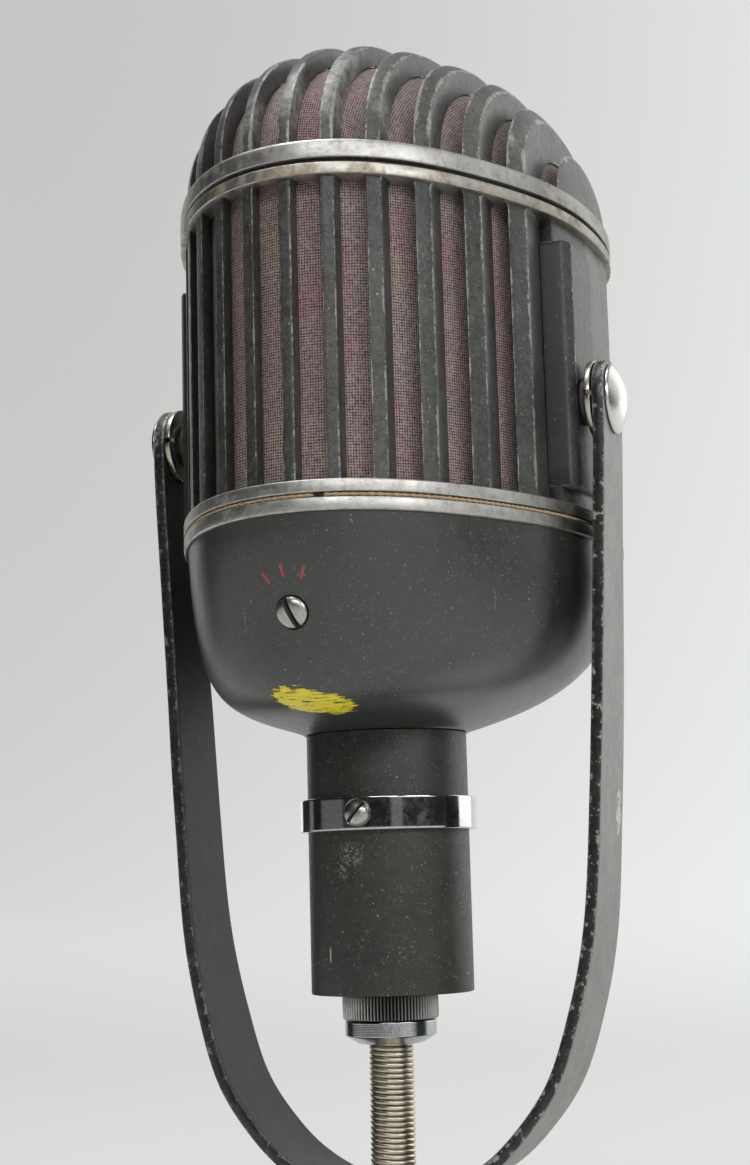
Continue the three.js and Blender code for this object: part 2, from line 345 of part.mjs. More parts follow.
// ---------- inside the head ----------
{
  const P0 = 183.2;
  let plate = solid(ovalPlate(RING_IN + GAP + SCREEN_T + 1.2, P0, P0 + 2));
  plate = cut(plate, rod(9, P0 - 1, P0 + 3, 20).translate(0, 34, 0), rod(9, P0 - 1, P0 + 3, 20).translate(0, -8, 0));
  add(head, 'chassis_plate', plate, M.alu);
  for (const s of [1, -1]) {
    const n = s > 0 ? 'right' : 'left';
    add(head, 'chassis_post_' + n, rod(2.6, P0 + 2 + GAP, 284, 12).translate(s * 30, 10, 0), M.steel);
    add(head, 'pole_piece_' + n, extrude(polygon([[3.2, 3], [12, -3], [22, -3], [22, 17], [12, 17], [3.2, 11]].map(([x, y]) => [s * x, y])), 48).translate(0, 0, 232), M.magnet);
  }
  const u = polygon([[-22, 17.3], [-12.5, 17.3], [-12.5, 32], [12.5, 32], [12.5, 17.3], [22, 17.3], [22, 42], [-22, 42]]);
  add(head, 'ribbon_magnet', extrude(u, 40).translate(0, 0, 236), M.magnet);
  add(head, 'ribbon_bridge', box(-34, 34, 1, 19, 284 + GAP, 286.6), M.alu);
  add(head, 'ribbon_shelf', cut(box(-24, 24, -4, 43, 228, 231.7), box(-3, 3, 4, 10, 220, 240)), M.alu);
  // corrugated ribbon
  const zig = [], W = 0.25, top = 278.8, bot = 233.2, K = 18;
  for (let i = 0; i <= K; i++) zig.push([7 + (i % 2 ? 0.5 : -0.5), bot + (top - bot) * i / K]);
  const ribbonShape = polygon([...zig, ...zig.slice().reverse().map(([y, z]) => [y + W, z])]);
  // drawn in (Y, Z), extruded across X
  const rib = extrude(ribbonShape, 4.6).applyMatrix4(new THREE.Matrix4().set(0, 0, 1, -2.3, 1, 0, 0, 0, 0, 1, 0, 0, 0, 0, 0, 1));
  add(head, 'ribbon', rib, M.ribbon);
  add(head, 'ribbon_clamp_top', box(-2.6, 2.6, 3.6, 10.6, 279.2, 283.8), M.bakelite);
  add(head, 'ribbon_clamp_bottom', cut(box(-2.6, 2.6, 4.3, 9.7, 228.2, 232.8), box(-4, 4, 5.9, 8.4, 227, 229)), M.bakelite);
  // moving-coil element behind the front of the lower cage, axis along -Y
  const dyn = (pts, seg = 28) => lathe(pts, seg).rotateX(Math.PI / 2).translate(0, 0, 206);
  add(head, 'coil_element_case', dyn([[0, -2], [19, -2], [19, 30], [18, 30], [18, 0], [0, 0]].map(([r, z]) => [r, z])), M.magnet);
  add(head, 'coil_element_magnet', dyn([[0, 0.4], [14, 0.4], [14, 18], [6, 18], [6, 20], [0, 20]]), M.magnet);
  add(head, 'diaphragm', dyn([[0, 26.4], [6, 25.4], [9.6, 23.4], [17.4, 23.4], [17.4, 23.8], [9.8, 23.8], [6.2, 25.9], [0, 26.9]]), M.ribbon);
  add(head, 'coil_element_grid', dyn([[3, 30.4], [19, 30.4], [19, 31.4], [3, 31.4]]), M.alu);
  add(head, 'transformer', box(-17, 17, 34, 60, P0 + 2 + GAP, 220), M.magnet);
  add(head, 'terminal_board', box(-22, 22, 26, 27.6, P0 + 2 + GAP, 222), M.paper);
}

export default microphone;
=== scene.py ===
import math
import bpy
import numpy as np
from mathutils import Matrix, Vector


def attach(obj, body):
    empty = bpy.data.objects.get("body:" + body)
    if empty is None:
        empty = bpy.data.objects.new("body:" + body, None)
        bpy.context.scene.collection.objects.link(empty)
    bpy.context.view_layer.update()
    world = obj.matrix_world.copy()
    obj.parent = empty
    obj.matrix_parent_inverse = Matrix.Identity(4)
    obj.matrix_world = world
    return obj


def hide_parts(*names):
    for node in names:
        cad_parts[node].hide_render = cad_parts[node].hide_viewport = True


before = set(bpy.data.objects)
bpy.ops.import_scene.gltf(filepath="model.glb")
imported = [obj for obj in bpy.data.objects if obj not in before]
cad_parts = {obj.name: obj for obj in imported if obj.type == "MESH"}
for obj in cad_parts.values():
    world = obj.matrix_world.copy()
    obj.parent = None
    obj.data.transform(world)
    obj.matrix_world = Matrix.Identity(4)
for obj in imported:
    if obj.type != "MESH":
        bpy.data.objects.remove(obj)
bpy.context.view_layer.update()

MM = 0.001
scene = bpy.context.scene
scene.view_settings.view_transform = "Standard"

# ---------------------------------------------------------------- dimensions, mm
PIVOT_Z = 212.3
OUT_CY = 8.0
OUT_R = [63.001, -3.273, 8.826, 2.098, 0.645, 0.911, 0.109]
OUT_WIDEN = 1.005
DOME_RING_TOP, DOME_RING_BOT = 266.6, 262.1
CAGE_TOP, CAGE_TOP_RING, CAGE_LOW_RING, CAGE_BOT = 260.9, 258.1, 185.4, 182.4
BOWL_TOP, BOWL_RING_BOT, BOWL_END = 181.2, 178.0, 131.3
DOME_H, EXPO = 43.0, 2 / 2.1
BAR_X = [0, 10.2, 20.0, 29.3, 37.8, 45.1]
BAR_W = 3.1
DOME_SIDE_X = 51.2
NECK_CY = -2.9
PLUG_X = -0.8
SEL = np.array([-2.7, -56.6, 156.2]); SEL_TILT = math.radians(18.5)

# ---------------------------------------------------------------- mesh helpers
def link(name, verts, faces, mat, body=None, replaces=(), slot=None, smooth=40, attrs=None):
    v = np.asarray(verts, float) * MM
    me = bpy.data.meshes.new(name)
    me.from_pydata(v.tolist(), [], faces)
    me.validate()
    me.update()
    if attrs:
        for k, a in attrs.items():
            at = me.attributes.new(k, "FLOAT", "POINT")
            at.data.foreach_set("value", np.asarray(a, np.float32))
    vol = 0.0
    co = v
    for f in faces:
        a = co[f[0]]
        for i in range(1, len(f) - 1):
            vol += np.dot(a, np.cross(co[f[i]], co[f[i + 1]]))
    if vol < 0:
        me.flip_normals()
    me.materials.append(mat)
    o = bpy.data.objects.new(name, me)
    scene.collection.objects.link(o)
    if smooth:
        shade(o, smooth)
    if body:
        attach(o, body)
    if replaces:
        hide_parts(*([replaces] if isinstance(replaces, str) else replaces))
    return o


def shade(o, angle):
    me = o.data
    me.shade_smooth()
    try:
        me.set_sharp_from_angle(angle=math.radians(angle))
    except Exception:
        pass


class Shells:
    """Collects closed shells into one mesh."""

    def __init__(self):
        self.v, self.f, self.a, self.n = [], [], [], 0

    def add(self, verts, faces, edge=None):
        verts = np.asarray(verts, float)
        co = verts
        vol = 0.0
        for f in faces:
            a = co[f[0]]
            for i in range(1, len(f) - 1):
                vol += np.dot(a, np.cross(co[f[i]], co[f[i + 1]]))
        fs = [tuple(i + self.n for i in (f if vol > 0 else f[::-1])) for f in faces]
        self.v.append(verts)
        self.f += fs
        self.a.append(np.full(len(verts), 9.0) if edge is None else np.asarray(edge, float))
        self.n += len(verts)

    def make(self, name, mat, **kw):
        return link(name, np.concatenate(self.v), self.f, mat, attrs={"edge": np.concatenate(self.a)}, **kw)


def loft(rings, wrap=False, cap=True, pole0=None, pole1=None):
    """rings (R, N, 3), each closed. wrap joins last to first. Otherwise the ends are capped by an n-gon or by poles."""
    rings = np.asarray(rings, float)
    R, N = rings.shape[:2]
    v = rings.reshape(-1, 3).tolist()
    f = []
    for i in range(R if wrap else R - 1):
        a, b = i * N, ((i + 1) % R) * N
        for j in range(N):
            k = (j + 1) % N
            f.append((a + j, a + k, b + k, b + j))
    if not wrap:
        if pole0 is not None:
            s = len(v); v.append(list(pole0))
            f += [(s, (j + 1) % N, j) for j in range(N)]
        elif cap:
            f.append(tuple(range(N))[::-1])
        if pole1 is not None:
            e = len(v); v.append(list(pole1)); a = (R - 1) * N
            f += [(e, a + j, a + (j + 1) % N) for j in range(N)]
        elif cap:
            f.append(tuple((R - 1) * N + j for j in range(N)))
    return np.array(v), f


def fillet(pts, rad, n=3, closed=True):
    """Rounds the corners of a 2D polygon. rad is one radius or one per corner."""
    pts = [np.array(p, float) for p in pts]
    m = len(pts)
    rads = rad if hasattr(rad, "__len__") else [rad] * m
    out = []
    for i, p in enumerate(pts):
        if not closed and i in (0, m - 1) or rads[i] <= 0:
            out.append(p)
            continue
        a, b = pts[i - 1] - p, pts[(i + 1) % m] - p
        la, lb = np.linalg.norm(a), np.linalg.norm(b)
        d = min(rads[i], 0.48 * la, 0.48 * lb)
        p0, p2 = p + a / la * d, p + b / lb * d
        for k in range(n + 1):
            t = k / n
            out.append((1 - t) ** 2 * p0 + 2 * t * (1 - t) * p + t * t * p2)
    return np.array(out)


def lathe(prof, seg=96, cx=0.0, cy=0.0, rad=0.3, n=3):
    """Closed turned solid about a vertical axis. prof is (r, z); it ends on the axis at both ends, or is a closed loop."""
    on_axis = prof[0][0] == 0 and prof[-1][0] == 0
    p = fillet(prof, rad, n, closed=not on_axis)
    t = np.linspace(0, 2 * np.pi, seg, endpoint=False)
    if on_axis:
        q = p[1:-1]
        rings = np.array([[[cx + r * np.cos(a), cy + r * np.sin(a), z] for a in t] for r, z in q])
        return loft(rings, pole0=(cx, cy, p[0][1]), pole1=(cx, cy, p[-1][1]))
    rings = np.array([[[cx + r * np.cos(a), cy + r * np.sin(a), z] for a in t] for r, z in p])
    return loft(rings, wrap=True)


def turned(v, M):
    v = np.asarray(v, float)
    return v @ np.array(M.to_3x3()).T + np.array(M.translation)


def outline(th, inset=0.0):
    th = np.asarray(th, float)
    r = sum(c * np.cos(k * th) for k, c in enumerate(OUT_R))
    dr = sum(-k * c * np.sin(k * th) for k, c in enumerate(OUT_R))
    x, y = OUT_WIDEN * r * np.sin(th), OUT_CY - r * np.cos(th)
    dx, dy = OUT_WIDEN * (dr * np.sin(th) + r * np.cos(th)), -(dr * np.cos(th) - r * np.sin(th))
    L = np.hypot(dx, dy)
    return x - dy / L * inset, y + dx / L * inset


TH = np.linspace(-np.pi, np.pi, 6001)
_cache = {}
def crossing(x0, inset, front=True):
    """Y where the outline at that inset crosses X = x0."""
    if inset not in _cache:
        x, y = outline(TH, inset)
        m = int(np.argmax(x)); k = int(np.argmin(x))
        fr = slice(k, m + 1)
        bx, by = np.concatenate([x[m:], x[:k + 1]]), np.concatenate([y[m:], y[:k + 1]])
        _cache[inset] = (x[fr], y[fr], bx[::-1], by[::-1], x[m])
    fx, fy, bx, by, xm = _cache[inset]
    x0 = np.clip(x0, -xm, xm)
    return np.interp(x0, fx, fy) if front else np.interp(x0, bx, by)


def oval_loop(inset, z, n=240):
    t = np.linspace(0, 2 * np.pi, n, endpoint=False)
    x, y = outline(t, inset)
    return np.stack([x, y, np.full_like(x, z)], 1)


def oval_loft(section, n=240, rad=0.4, k=3):
    """Solid ring whose section is (inset, z) round the oval."""
    s = fillet(section, rad, k)
    return loft(np.array([oval_loop(i, z, n) for i, z in s]), wrap=True)


# ---------------------------------------------------------------- materials
class N:
    """Small node builder."""

    def __init__(self, name):
        self.m = bpy.data.materials.new(name)
        self.m.use_nodes = True
        self.t = self.m.node_tree
        self.t.nodes.clear()
        self.out = self.t.nodes.new("ShaderNodeOutputMaterial")
        self.b = self.t.nodes.new("ShaderNodeBsdfPrincipled")
        self.t.links.new(self.b.outputs[0], self.out.inputs[0])
        tc = self.t.nodes.new("ShaderNodeTexCoord")
        self.pos = self.vm("SCALE", tc.outputs["Object"], scale=1000.0)  # millimetres

    def new(self, kind, **props):
        n = self.t.nodes.new(kind)
        for k, v in props.items():
            setattr(n, k, v)
        return n

    def put(self, sock, val):
        if isinstance(val, bpy.types.NodeSocket):
            self.t.links.new(val, sock)
        elif val is not None:
            if sock.type == "RGBA" and len(val) == 3:
                val = (*val, 1)
            sock.default_value = val

    def vm(self, op, a, b=None, scale=None):
        n = self.new("ShaderNodeVectorMath", operation=op)
        self.put(n.inputs[0], a)
        if b is not None:
            self.put(n.inputs[1], b)
        if scale is not None:
            self.put(n.inputs["Scale"], scale)
        return n.outputs["Value"] if op in ("LENGTH", "DISTANCE", "DOT_PRODUCT") else n.outputs["Vector"]

    def math(self, op, a, b=None, clamp=False):
        n = self.new("ShaderNodeMath", operation=op, use_clamp=clamp)
        self.put(n.inputs[0], a)
        if b is not None:
            self.put(n.inputs[1], b)
        return n.outputs[0]

    def map(self, v, a, b, c=0.0, d=1.0, smooth=False):
        n = self.new("ShaderNodeMapRange", clamp=True)
        if smooth:
            n.interpolation_type = "SMOOTHSTEP"
        for s, x in zip(n.inputs[:5], (v, a, b, c, d)):
            self.put(s, x)
        return n.outputs[0]

    def noise(self, scale, detail=3.0, rough=0.55, vec=None, dist=0.0, w=None):
        n = self.new("ShaderNodeTexNoise")
        if w is not None:
            n.noise_dimensions = "4D"
            n.inputs["W"].default_value = w
        self.put(n.inputs["Vector"], vec or self.pos)
        n.inputs["Scale"].default_value = scale
        n.inputs["Detail"].default_value = detail
        n.inputs["Roughness"].default_value = rough
        n.inputs["Distortion"].default_value = dist
        return n.outputs["Fac"]

    def voro(self, scale, feature="F1", vec=None, rand=1.0, out="Distance"):
        n = self.new("ShaderNodeTexVoronoi", feature=feature)
        self.put(n.inputs["Vector"], vec or self.pos)
        n.inputs["Scale"].default_value = scale
        n.inputs["Randomness"].default_value = rand
        return n.outputs[out]

    def mix(self, f, a, b, mode="MIX"):
        n = self.new("ShaderNodeMix", data_type="RGBA", blend_type=mode)
        self.put(n.inputs[0], f)
        self.put(n.inputs[6], a)
        self.put(n.inputs[7], b)
        return n.outputs[2]

    def mixf(self, f, a, b):
        n = self.new("ShaderNodeMix", data_type="FLOAT")
        self.put(n.inputs[0], f)
        self.put(n.inputs[2], a)
        self.put(n.inputs[3], b)
        return n.outputs[0]

    def attr(self, name):
        return self.new("ShaderNodeAttribute", attribute_name=name, attribute_type="GEOMETRY").outputs["Fac"]

    def stretch(self, sx, sy, sz, rot=(0, 0, 0)):
        n = self.new("ShaderNodeMapping")
        self.put(n.inputs["Vector"], self.pos)
        n.inputs["Rotation"].default_value = rot
        n.inputs["Scale"].default_value = (sx, sy, sz)
        return n.outputs[0]

    def bump(self, height, dist, strength=1.0, normal=None):
        n = self.new("ShaderNodeBump")
        n.inputs["Distance"].default_value = dist * MM
        n.inputs["Strength"].default_value = strength
        self.put(n.inputs["Height"], height)
        if normal is not None:
            self.put(n.inputs["Normal"], normal)
        return n.outputs[0]

    def set(self, **kw):
        names = dict(color="Base Color", rough="Roughness", metal="Metallic", normal="Normal", spec="Specular IOR Level",
                     coat="Coat Weight", coat_rough="Coat Roughness", sheen="Sheen Weight", sheen_rough="Sheen Roughness",
                     aniso="Anisotropic", ior="IOR")
        for k, v in kw.items():
            self.put(self.b.inputs[names[k]], v)
        return self.m

    def blob(self, p, r0, r1):
        """1 at p, 0 beyond r1."""
        return self.map(self.vm("DISTANCE", self.pos, p), r0, r1, 1.0, 0.0, smooth=True)


def both(n, *vals):
    r = vals[0]
    for v in vals[1:]:
        r = n.math("MAXIMUM", r, v)
    return r


def enamel(name, dark=(0.026, 0.028, 0.024), light=(0.052, 0.055, 0.048), edge=None, edge_mm=0.8, edge_amt=0.5, edge_from=0.9,
           specks=1.0, scratch=0.5, rough=(0.36, 0.5), rub=0.0, worn=(0.26, 0.26, 0.245), grain=1.0, gloss=0.5, extra=None):
    n = N(name)
    broad = n.noise(0.035, 4, 0.6)
    mid = n.noise(0.35, 5, 0.65)
    fine = n.noise(1.6, 3, 0.6)
    col = n.mix(n.map(broad, 0.35, 0.65), dark, light)
    col = n.mix(n.map(mid, 0.45, 0.75, 0, 0.4), col, tuple(c * 1.3 for c in light))
    g = n.map(n.math("ADD", n.math("MULTIPLY", n.noise(1.3, 4, 0.7, w=11.0), 0.5), n.math("MULTIPLY", n.noise(0.55, 3, 0.6, w=12.0), 0.5)), 0.38, 0.62, 1.0 - 0.28 * grain, 1.0 + 0.28 * grain)
    col = n.mix(1.0, col, n.vm("SCALE", (1, 1, 1), scale=g), "MULTIPLY")
    # dust and chips too small to model
    def dots(scale, rad, lo, hi, gate, w):
        return n.math("MULTIPLY", n.map(n.voro(scale), rad * 0.6, rad, 1, 0), n.map(n.noise(gate, 3, 0.6, w=w), lo, hi))
    sp = both(n, dots(0.22, 0.07, 0.44, 0.6, 0.09, 1.0), dots(0.7, 0.15, 0.47, 0.6, 0.2, 2.0), n.math("MULTIPLY", dots(1.5, 0.24, 0.46, 0.6, 0.35, 3.0), 0.7))
    spk = n.math("MULTIPLY", sp, specks, clamp=True)
    # short fine scratches in two directions
    def lines(scale, long, rot, rad, lo, w):
        k = n.voro(scale, vec=n.stretch(1.0, 1.0, long, rot))
        return n.math("MULTIPLY", n.map(k, rad * 0.5, rad, 1, 0), n.map(n.noise(0.05, 3, 0.6, w=w), lo, lo + 0.08))
    s1 = lines(0.9, 0.05, (0.4, 0.25, 0.2), 0.10, 0.50, 5.0)
    s2 = lines(0.8, 0.06, (-0.7, 0.9, 0.1), 0.09, 0.52, 9.0)
    scr = n.math("MULTIPLY", both(n, s1, s2), scratch, clamp=True)
    metal = 0.0
    wear = None
    if edge:
        ed = n.attr(edge)
        jag = n.math("ADD", n.noise(0.9, 5, 0.8, w=3.0), n.math("MULTIPLY", n.noise(0.11, 3, 0.6, w=4.0), 0.9))
        reach = n.map(jag, edge_from, edge_from + 0.34, 0.0, edge_mm)
        wear = n.math("MULTIPLY", n.map(n.math("SUBTRACT", reach, ed), -0.03, 0.10), edge_amt, clamp=True)
    if rub:
        hot = n.math("MULTIPLY", n.map(n.noise(0.05, 5, 0.7, w=7.0), 0.56, 0.75), rub, clamp=True)
        wear = hot if wear is None else both(n, wear, hot)
    base_light = n.mix(n.noise(0.8, 2), worn, tuple(c * 1.9 for c in worn))
    if wear is not None:
        col = n.mix(wear, col, base_light)
        metal = n.math("MULTIPLY", wear, 0.45)
    col = n.mix(n.math("MULTIPLY", scr, 0.6), col, (0.30, 0.30, 0.28))
    col = n.mix(n.math("MULTIPLY", spk, 0.7), col, (0.40, 0.40, 0.37))
    r = n.map(mid, 0.3, 0.7, rough[0], rough[1])
    bump = n.bump(n.math("ADD", n.math("MULTIPLY", fine, 0.7), n.math("MULTIPLY", n.noise(4.2, 2, 0.5), 0.3)), 0.05, 0.8)
    if wear is not None:
        bump = n.bump(n.math("SUBTRACT", 1.0, wear), 0.05, 1.0, bump)
    if extra:
        col, r, bump = extra(n, col, r, bump)
    n.set(color=col, rough=r, normal=bump, spec=gloss)
    if wear is not None:
        n.set(metal=metal)
    return n.m


def metal(name, a, b, rough, brush=None, stain=0.0, stain_col=(0.16, 0.10, 0.05), bumps=0.02, dark=0.0, spots=0.0, extra=None):
    n = N(name)
    f = n.noise(0.25, 5, 0.65)
    col = n.mix(n.map(f, 0.3, 0.7), a, b)
    r = n.map(n.noise(0.5, 4, 0.7, w=2.0), 0.3, 0.7, rough[0], rough[1])
    h = n.noise(2.5, 3, 0.6)
    if brush:
        h = n.noise(1.0, 3, 0.6, vec=n.stretch(*brush))
        r = n.math("ADD", r, n.map(h, 0.3, 0.7, -0.05, 0.05))
    m = None
    if stain:
        s = n.math("MULTIPLY", n.map(n.noise(0.16, 5, 0.7, w=6.0), 0.50, 0.66), stain, clamp=True)
        col = n.mix(s, col, stain_col)
        r = n.math("ADD", r, n.math("MULTIPLY", s, 0.25))
        m = n.map(s, 0.0, 1.0, 1.0, 0.35)
    if dark:
        s = n.math("MULTIPLY", n.map(n.noise(0.5, 5, 0.75, w=8.0), 0.52, 0.68), dark, clamp=True)
        col = n.mix(s, col, (0.05, 0.05, 0.045))
    if spots:
        s = n.math("MULTIPLY", n.map(n.voro(0.8), 0.10, 0.2, 1, 0), n.map(n.noise(0.3, 2, w=4.0), 0.5, 0.6))
        col = n.mix(n.math("MULTIPLY", s, spots), col, (0.06, 0.055, 0.05))
    if extra:
        col = extra(n, col)
    n.set(color=col, rough=r, normal=n.bump(h, bumps, 0.7))
    if m is not None:
        n.set(metal=m)
    else:
        n.set(metal=1.0)
    return n.m


def cloth(name):
    n = N(name)
    u, v = n.attr("arc"), n.attr("rise")
    wob = n.math("MULTIPLY", n.math("SUBTRACT", n.noise(0.12, 2), 0.5), 0.5)
    pu = n.math("MULTIPLY", n.math("ADD", u, wob), 2 * math.pi / 0.66)
    pv = n.math("MULTIPLY", n.math("ADD", v, wob), 2 * math.pi / 0.69)
    warp = n.math("MULTIPLY", n.math("ADD", n.math("SINE", pu), 1.0), 0.5)
    weft = n.math("MULTIPLY", n.math("ADD", n.math("SINE", pv), 1.0), 0.5)
    dots = n.math("MULTIPLY", warp, weft)
    n1 = n.noise(0.045, 4, 0.65)
    n2 = n.noise(0.3, 4, 0.7, w=2.0)
    tone = n.map(n1, 0.36, 0.64)
    thread = n.mix(tone, (0.42, 0.350, 0.330), (0.46, 0.355, 0.345))
    thread = n.mix(n.map(n.noise(0.07, 4, 0.7, w=6.0), 0.5, 0.66), thread, (0.48, 0.29, 0.30))
    thread = n.mix(n.map(n.noise(0.06, 4, 0.7, w=7.0), 0.54, 0.7), thread, (0.50, 0.39, 0.28))
    thread = n.mix(n.map(n2, 0.5, 0.7, 0, 0.5), thread, (0.58, 0.51, 0.48))
    pink = both(n, n.blob((8.5, -55, 238), 3, 10), n.blob((8.0, -55, 227), 2, 8), n.blob((9.0, -55, 214), 1, 6), n.blob((1.0, -57, 249), 1, 6))
    pink = n.math("MULTIPLY", pink, n.map(n.noise(0.25, 4, 0.7, w=3.0), 0.42, 0.6))
    thread = n.mix(n.math("MULTIPLY", pink, 0.75), thread, (0.54, 0.20, 0.24))
    warm = both(n, n.blob((-3, -56, 196), 2, 10), n.blob((9, -55, 191), 2, 9), n.blob((20, -52, 190), 1, 6), n.blob((-3, -57, 243), 1, 8), n.blob((20, -52, 238), 1, 9))
    thread = n.mix(n.math("MULTIPLY", n.math("MULTIPLY", warm, 0.7), n.map(n.noise(0.2, 4, 0.7, w=13.0), 0.35, 0.6)), thread, (0.66, 0.47, 0.34))
    gap = n.mix(tone, (0.052, 0.034, 0.040), (0.072, 0.043, 0.055))
    rag = n.noise(1.7, 3, 0.7, w=8.0)
    cover = n.map(n.math("ADD", dots, n.map(rag, 0.3, 0.7, -0.3, 0.3)), -0.08, 0.50)
    col = n.mix(cover, gap, thread)
    lint = n.math("MULTIPLY", n.map(n.voro(0.35), 0.03, 0.07, 1, 0), n.map(n.noise(0.1, 2, w=5.0), 0.45, 0.6))
    col = n.mix(n.math("MULTIPLY", lint, 0.7), col, (0.5, 0.47, 0.45))
    n.set(color=col, rough=n.map(n2, 0.3, 0.7, 0.8, 0.95), normal=n.bump(dots, 0.14, 0.8), sheen=0.1, sheen_rough=0.5)
    return n.m


def felt(name, a, b, scale=3.0, hole=None):
    n = N(name)
    f = n.noise(scale, 4, 0.8)
    col = n.mix(n.map(f, 0.3, 0.7), a, b)
    # a near-black spot painted where a hole would be: painted shade
    if hole:
        col = n.mix(n.blob(hole[0], hole[1] * 0.8, hole[1]), col, (0.01, 0.009, 0.008))
    n.set(color=col, rough=n.map(f, 0.3, 0.7, 0.85, 1.0), normal=n.bump(f, 0.15, 1.0), sheen=0.2)
    return n.m


# yellow paint smear and long scratches on the bowl
def bowl_extra(n, col, r, bump):
    vec = n.vm("SUBTRACT", n.pos, (-2.9, -44.9, 135.8))
    sep = n.new("ShaderNodeSeparateXYZ"); n.put(sep.inputs[0], vec)
    x, y, z = sep.outputs
    warp = n.math("MULTIPLY", n.math("SUBTRACT", n.noise(0.35, 3, 0.6, w=1.5), 0.5), 3.2)
    warp2 = n.math("MULTIPLY", n.math("SUBTRACT", n.noise(0.9, 3, 0.6, w=2.5), 0.5), 1.6)
    # distance along the wall in the direction that runs down the bowl
    down = n.math("ADD", n.math("MULTIPLY", y, 0.75), n.math("MULTIPLY", z, -0.66))
    ex = n.math("DIVIDE", n.math("ADD", x, warp), 10.9)
    ey = n.math("DIVIDE", n.math("ADD", n.math("ADD", down, warp2), n.math("MULTIPLY", x, -0.2)), 6.3)
    d = n.math("ADD", n.math("POWER", n.math("ABSOLUTE", ex), 2.6), n.math("POWER", n.math("ABSOLUTE", ey), 2.0))
    streak = n.noise(1.0, 4, 0.7, vec=n.stretch(0.2, 1.3, 1.3, (0.0, 0.42, 0.15)))
    mask = n.map(n.math("ADD", d, n.map(streak, 0.3, 0.7, 0.0, 0.75)), 1.02, 1.10, 1.0, 0.0)
    holes = n.map(streak, 0.58, 0.63, 1.0, 0.0)
    mask = n.math("MULTIPLY", mask, holes)
    ycol = n.mix(n.map(streak, 0.3, 0.6), (1.0, 0.86, 0.01), (0.78, 0.62, 0.01))
    col = n.mix(mask, col, ycol)
    r = n.mixf(mask, r, 0.35)
    bump = n.bump(n.math("MULTIPLY", mask, n.map(streak, 0.2, 0.8, 0.4, 1.0)), 0.34, 1.0, bump)
    # painted reflection: the low corners of the bowl, where they face down and to the side, are painted a soft grey
    # sheen
    nrm = n.new("ShaderNodeSeparateXYZ"); n.put(nrm.inputs[0], n.new("ShaderNodeNewGeometry").outputs["Normal"])
    corner = n.math("ADD", n.math("MULTIPLY", n.math("ABSOLUTE", nrm.outputs[0]), 0.72), n.math("MULTIPLY", nrm.outputs[2], -0.69))
    corner = n.map(corner, 0.78, 0.99, 0.0, 1.0, smooth=True)
    col = n.mix(n.math("MULTIPLY", n.math("MULTIPLY", corner, n.math("SUBTRACT", 1.0, mask)), n.map(n.noise(0.08, 4, 0.6, w=3.0), 0.3, 0.6, 0.6, 1.0)), col, (0.12, 0.122, 0.115))
    # rubbed arcs
    def arc(c, rad, w, to, r1):
        ring = n.map(n.math("ABSOLUTE", n.math("SUBTRACT", n.vm("DISTANCE", n.pos, c), rad)), 0.0, w, 1.0, 0.0)
        return n.math("MULTIPLY", n.math("MULTIPLY", ring, n.blob(to, r1 * 0.55, r1)), n.map(n.noise(1.5, 3, 0.7), 0.4, 0.6))
    a = both(n, arc((30, -40, 158), 12.5, 0.3, (40.3, -27.9, 160), 5.5), arc((52, -24, 150), 10.0, 0.32, (45.1, -18.6, 158), 3.5),
             arc((-30, -50, 158), 14.0, 0.26, (-16.6, -52.1, 156), 4.0))
    col = n.mix(n.math("MULTIPLY", a, 0.7), col, (0.30, 0.31, 0.29))
    return col, r, bump


def dome_extra(n, col, r, bump):
    # silvery rubbing on the fronts of two ribs and a pale scuff on the last one
    jag = n.map(n.noise(0.35, 5, 0.75, w=1.0), 0.38, 0.62)
    a = both(n, n.blob((10.2, -55, 281), 7, 12), n.blob((20.0, -49, 274), 3, 8), n.blob((10.2, -48, 291), 3, 9), n.blob((0, -57, 279), 4, 11), n.blob((-10.5, -56, 276), 3, 9))
    a = n.math("MULTIPLY", a, jag)
    col = n.mix(n.math("MULTIPLY", a, 0.75), col, (0.42, 0.42, 0.40))
    b = n.math("MULTIPLY", n.blob((46.9, -24, 276), 2, 4.5), n.map(n.noise(0.8, 4, 0.7, w=2.0), 0.42, 0.55))
    col = n.mix(n.math("MULTIPLY", b, 0.8), col, (0.60, 0.60, 0.57))
    return col, r, bump


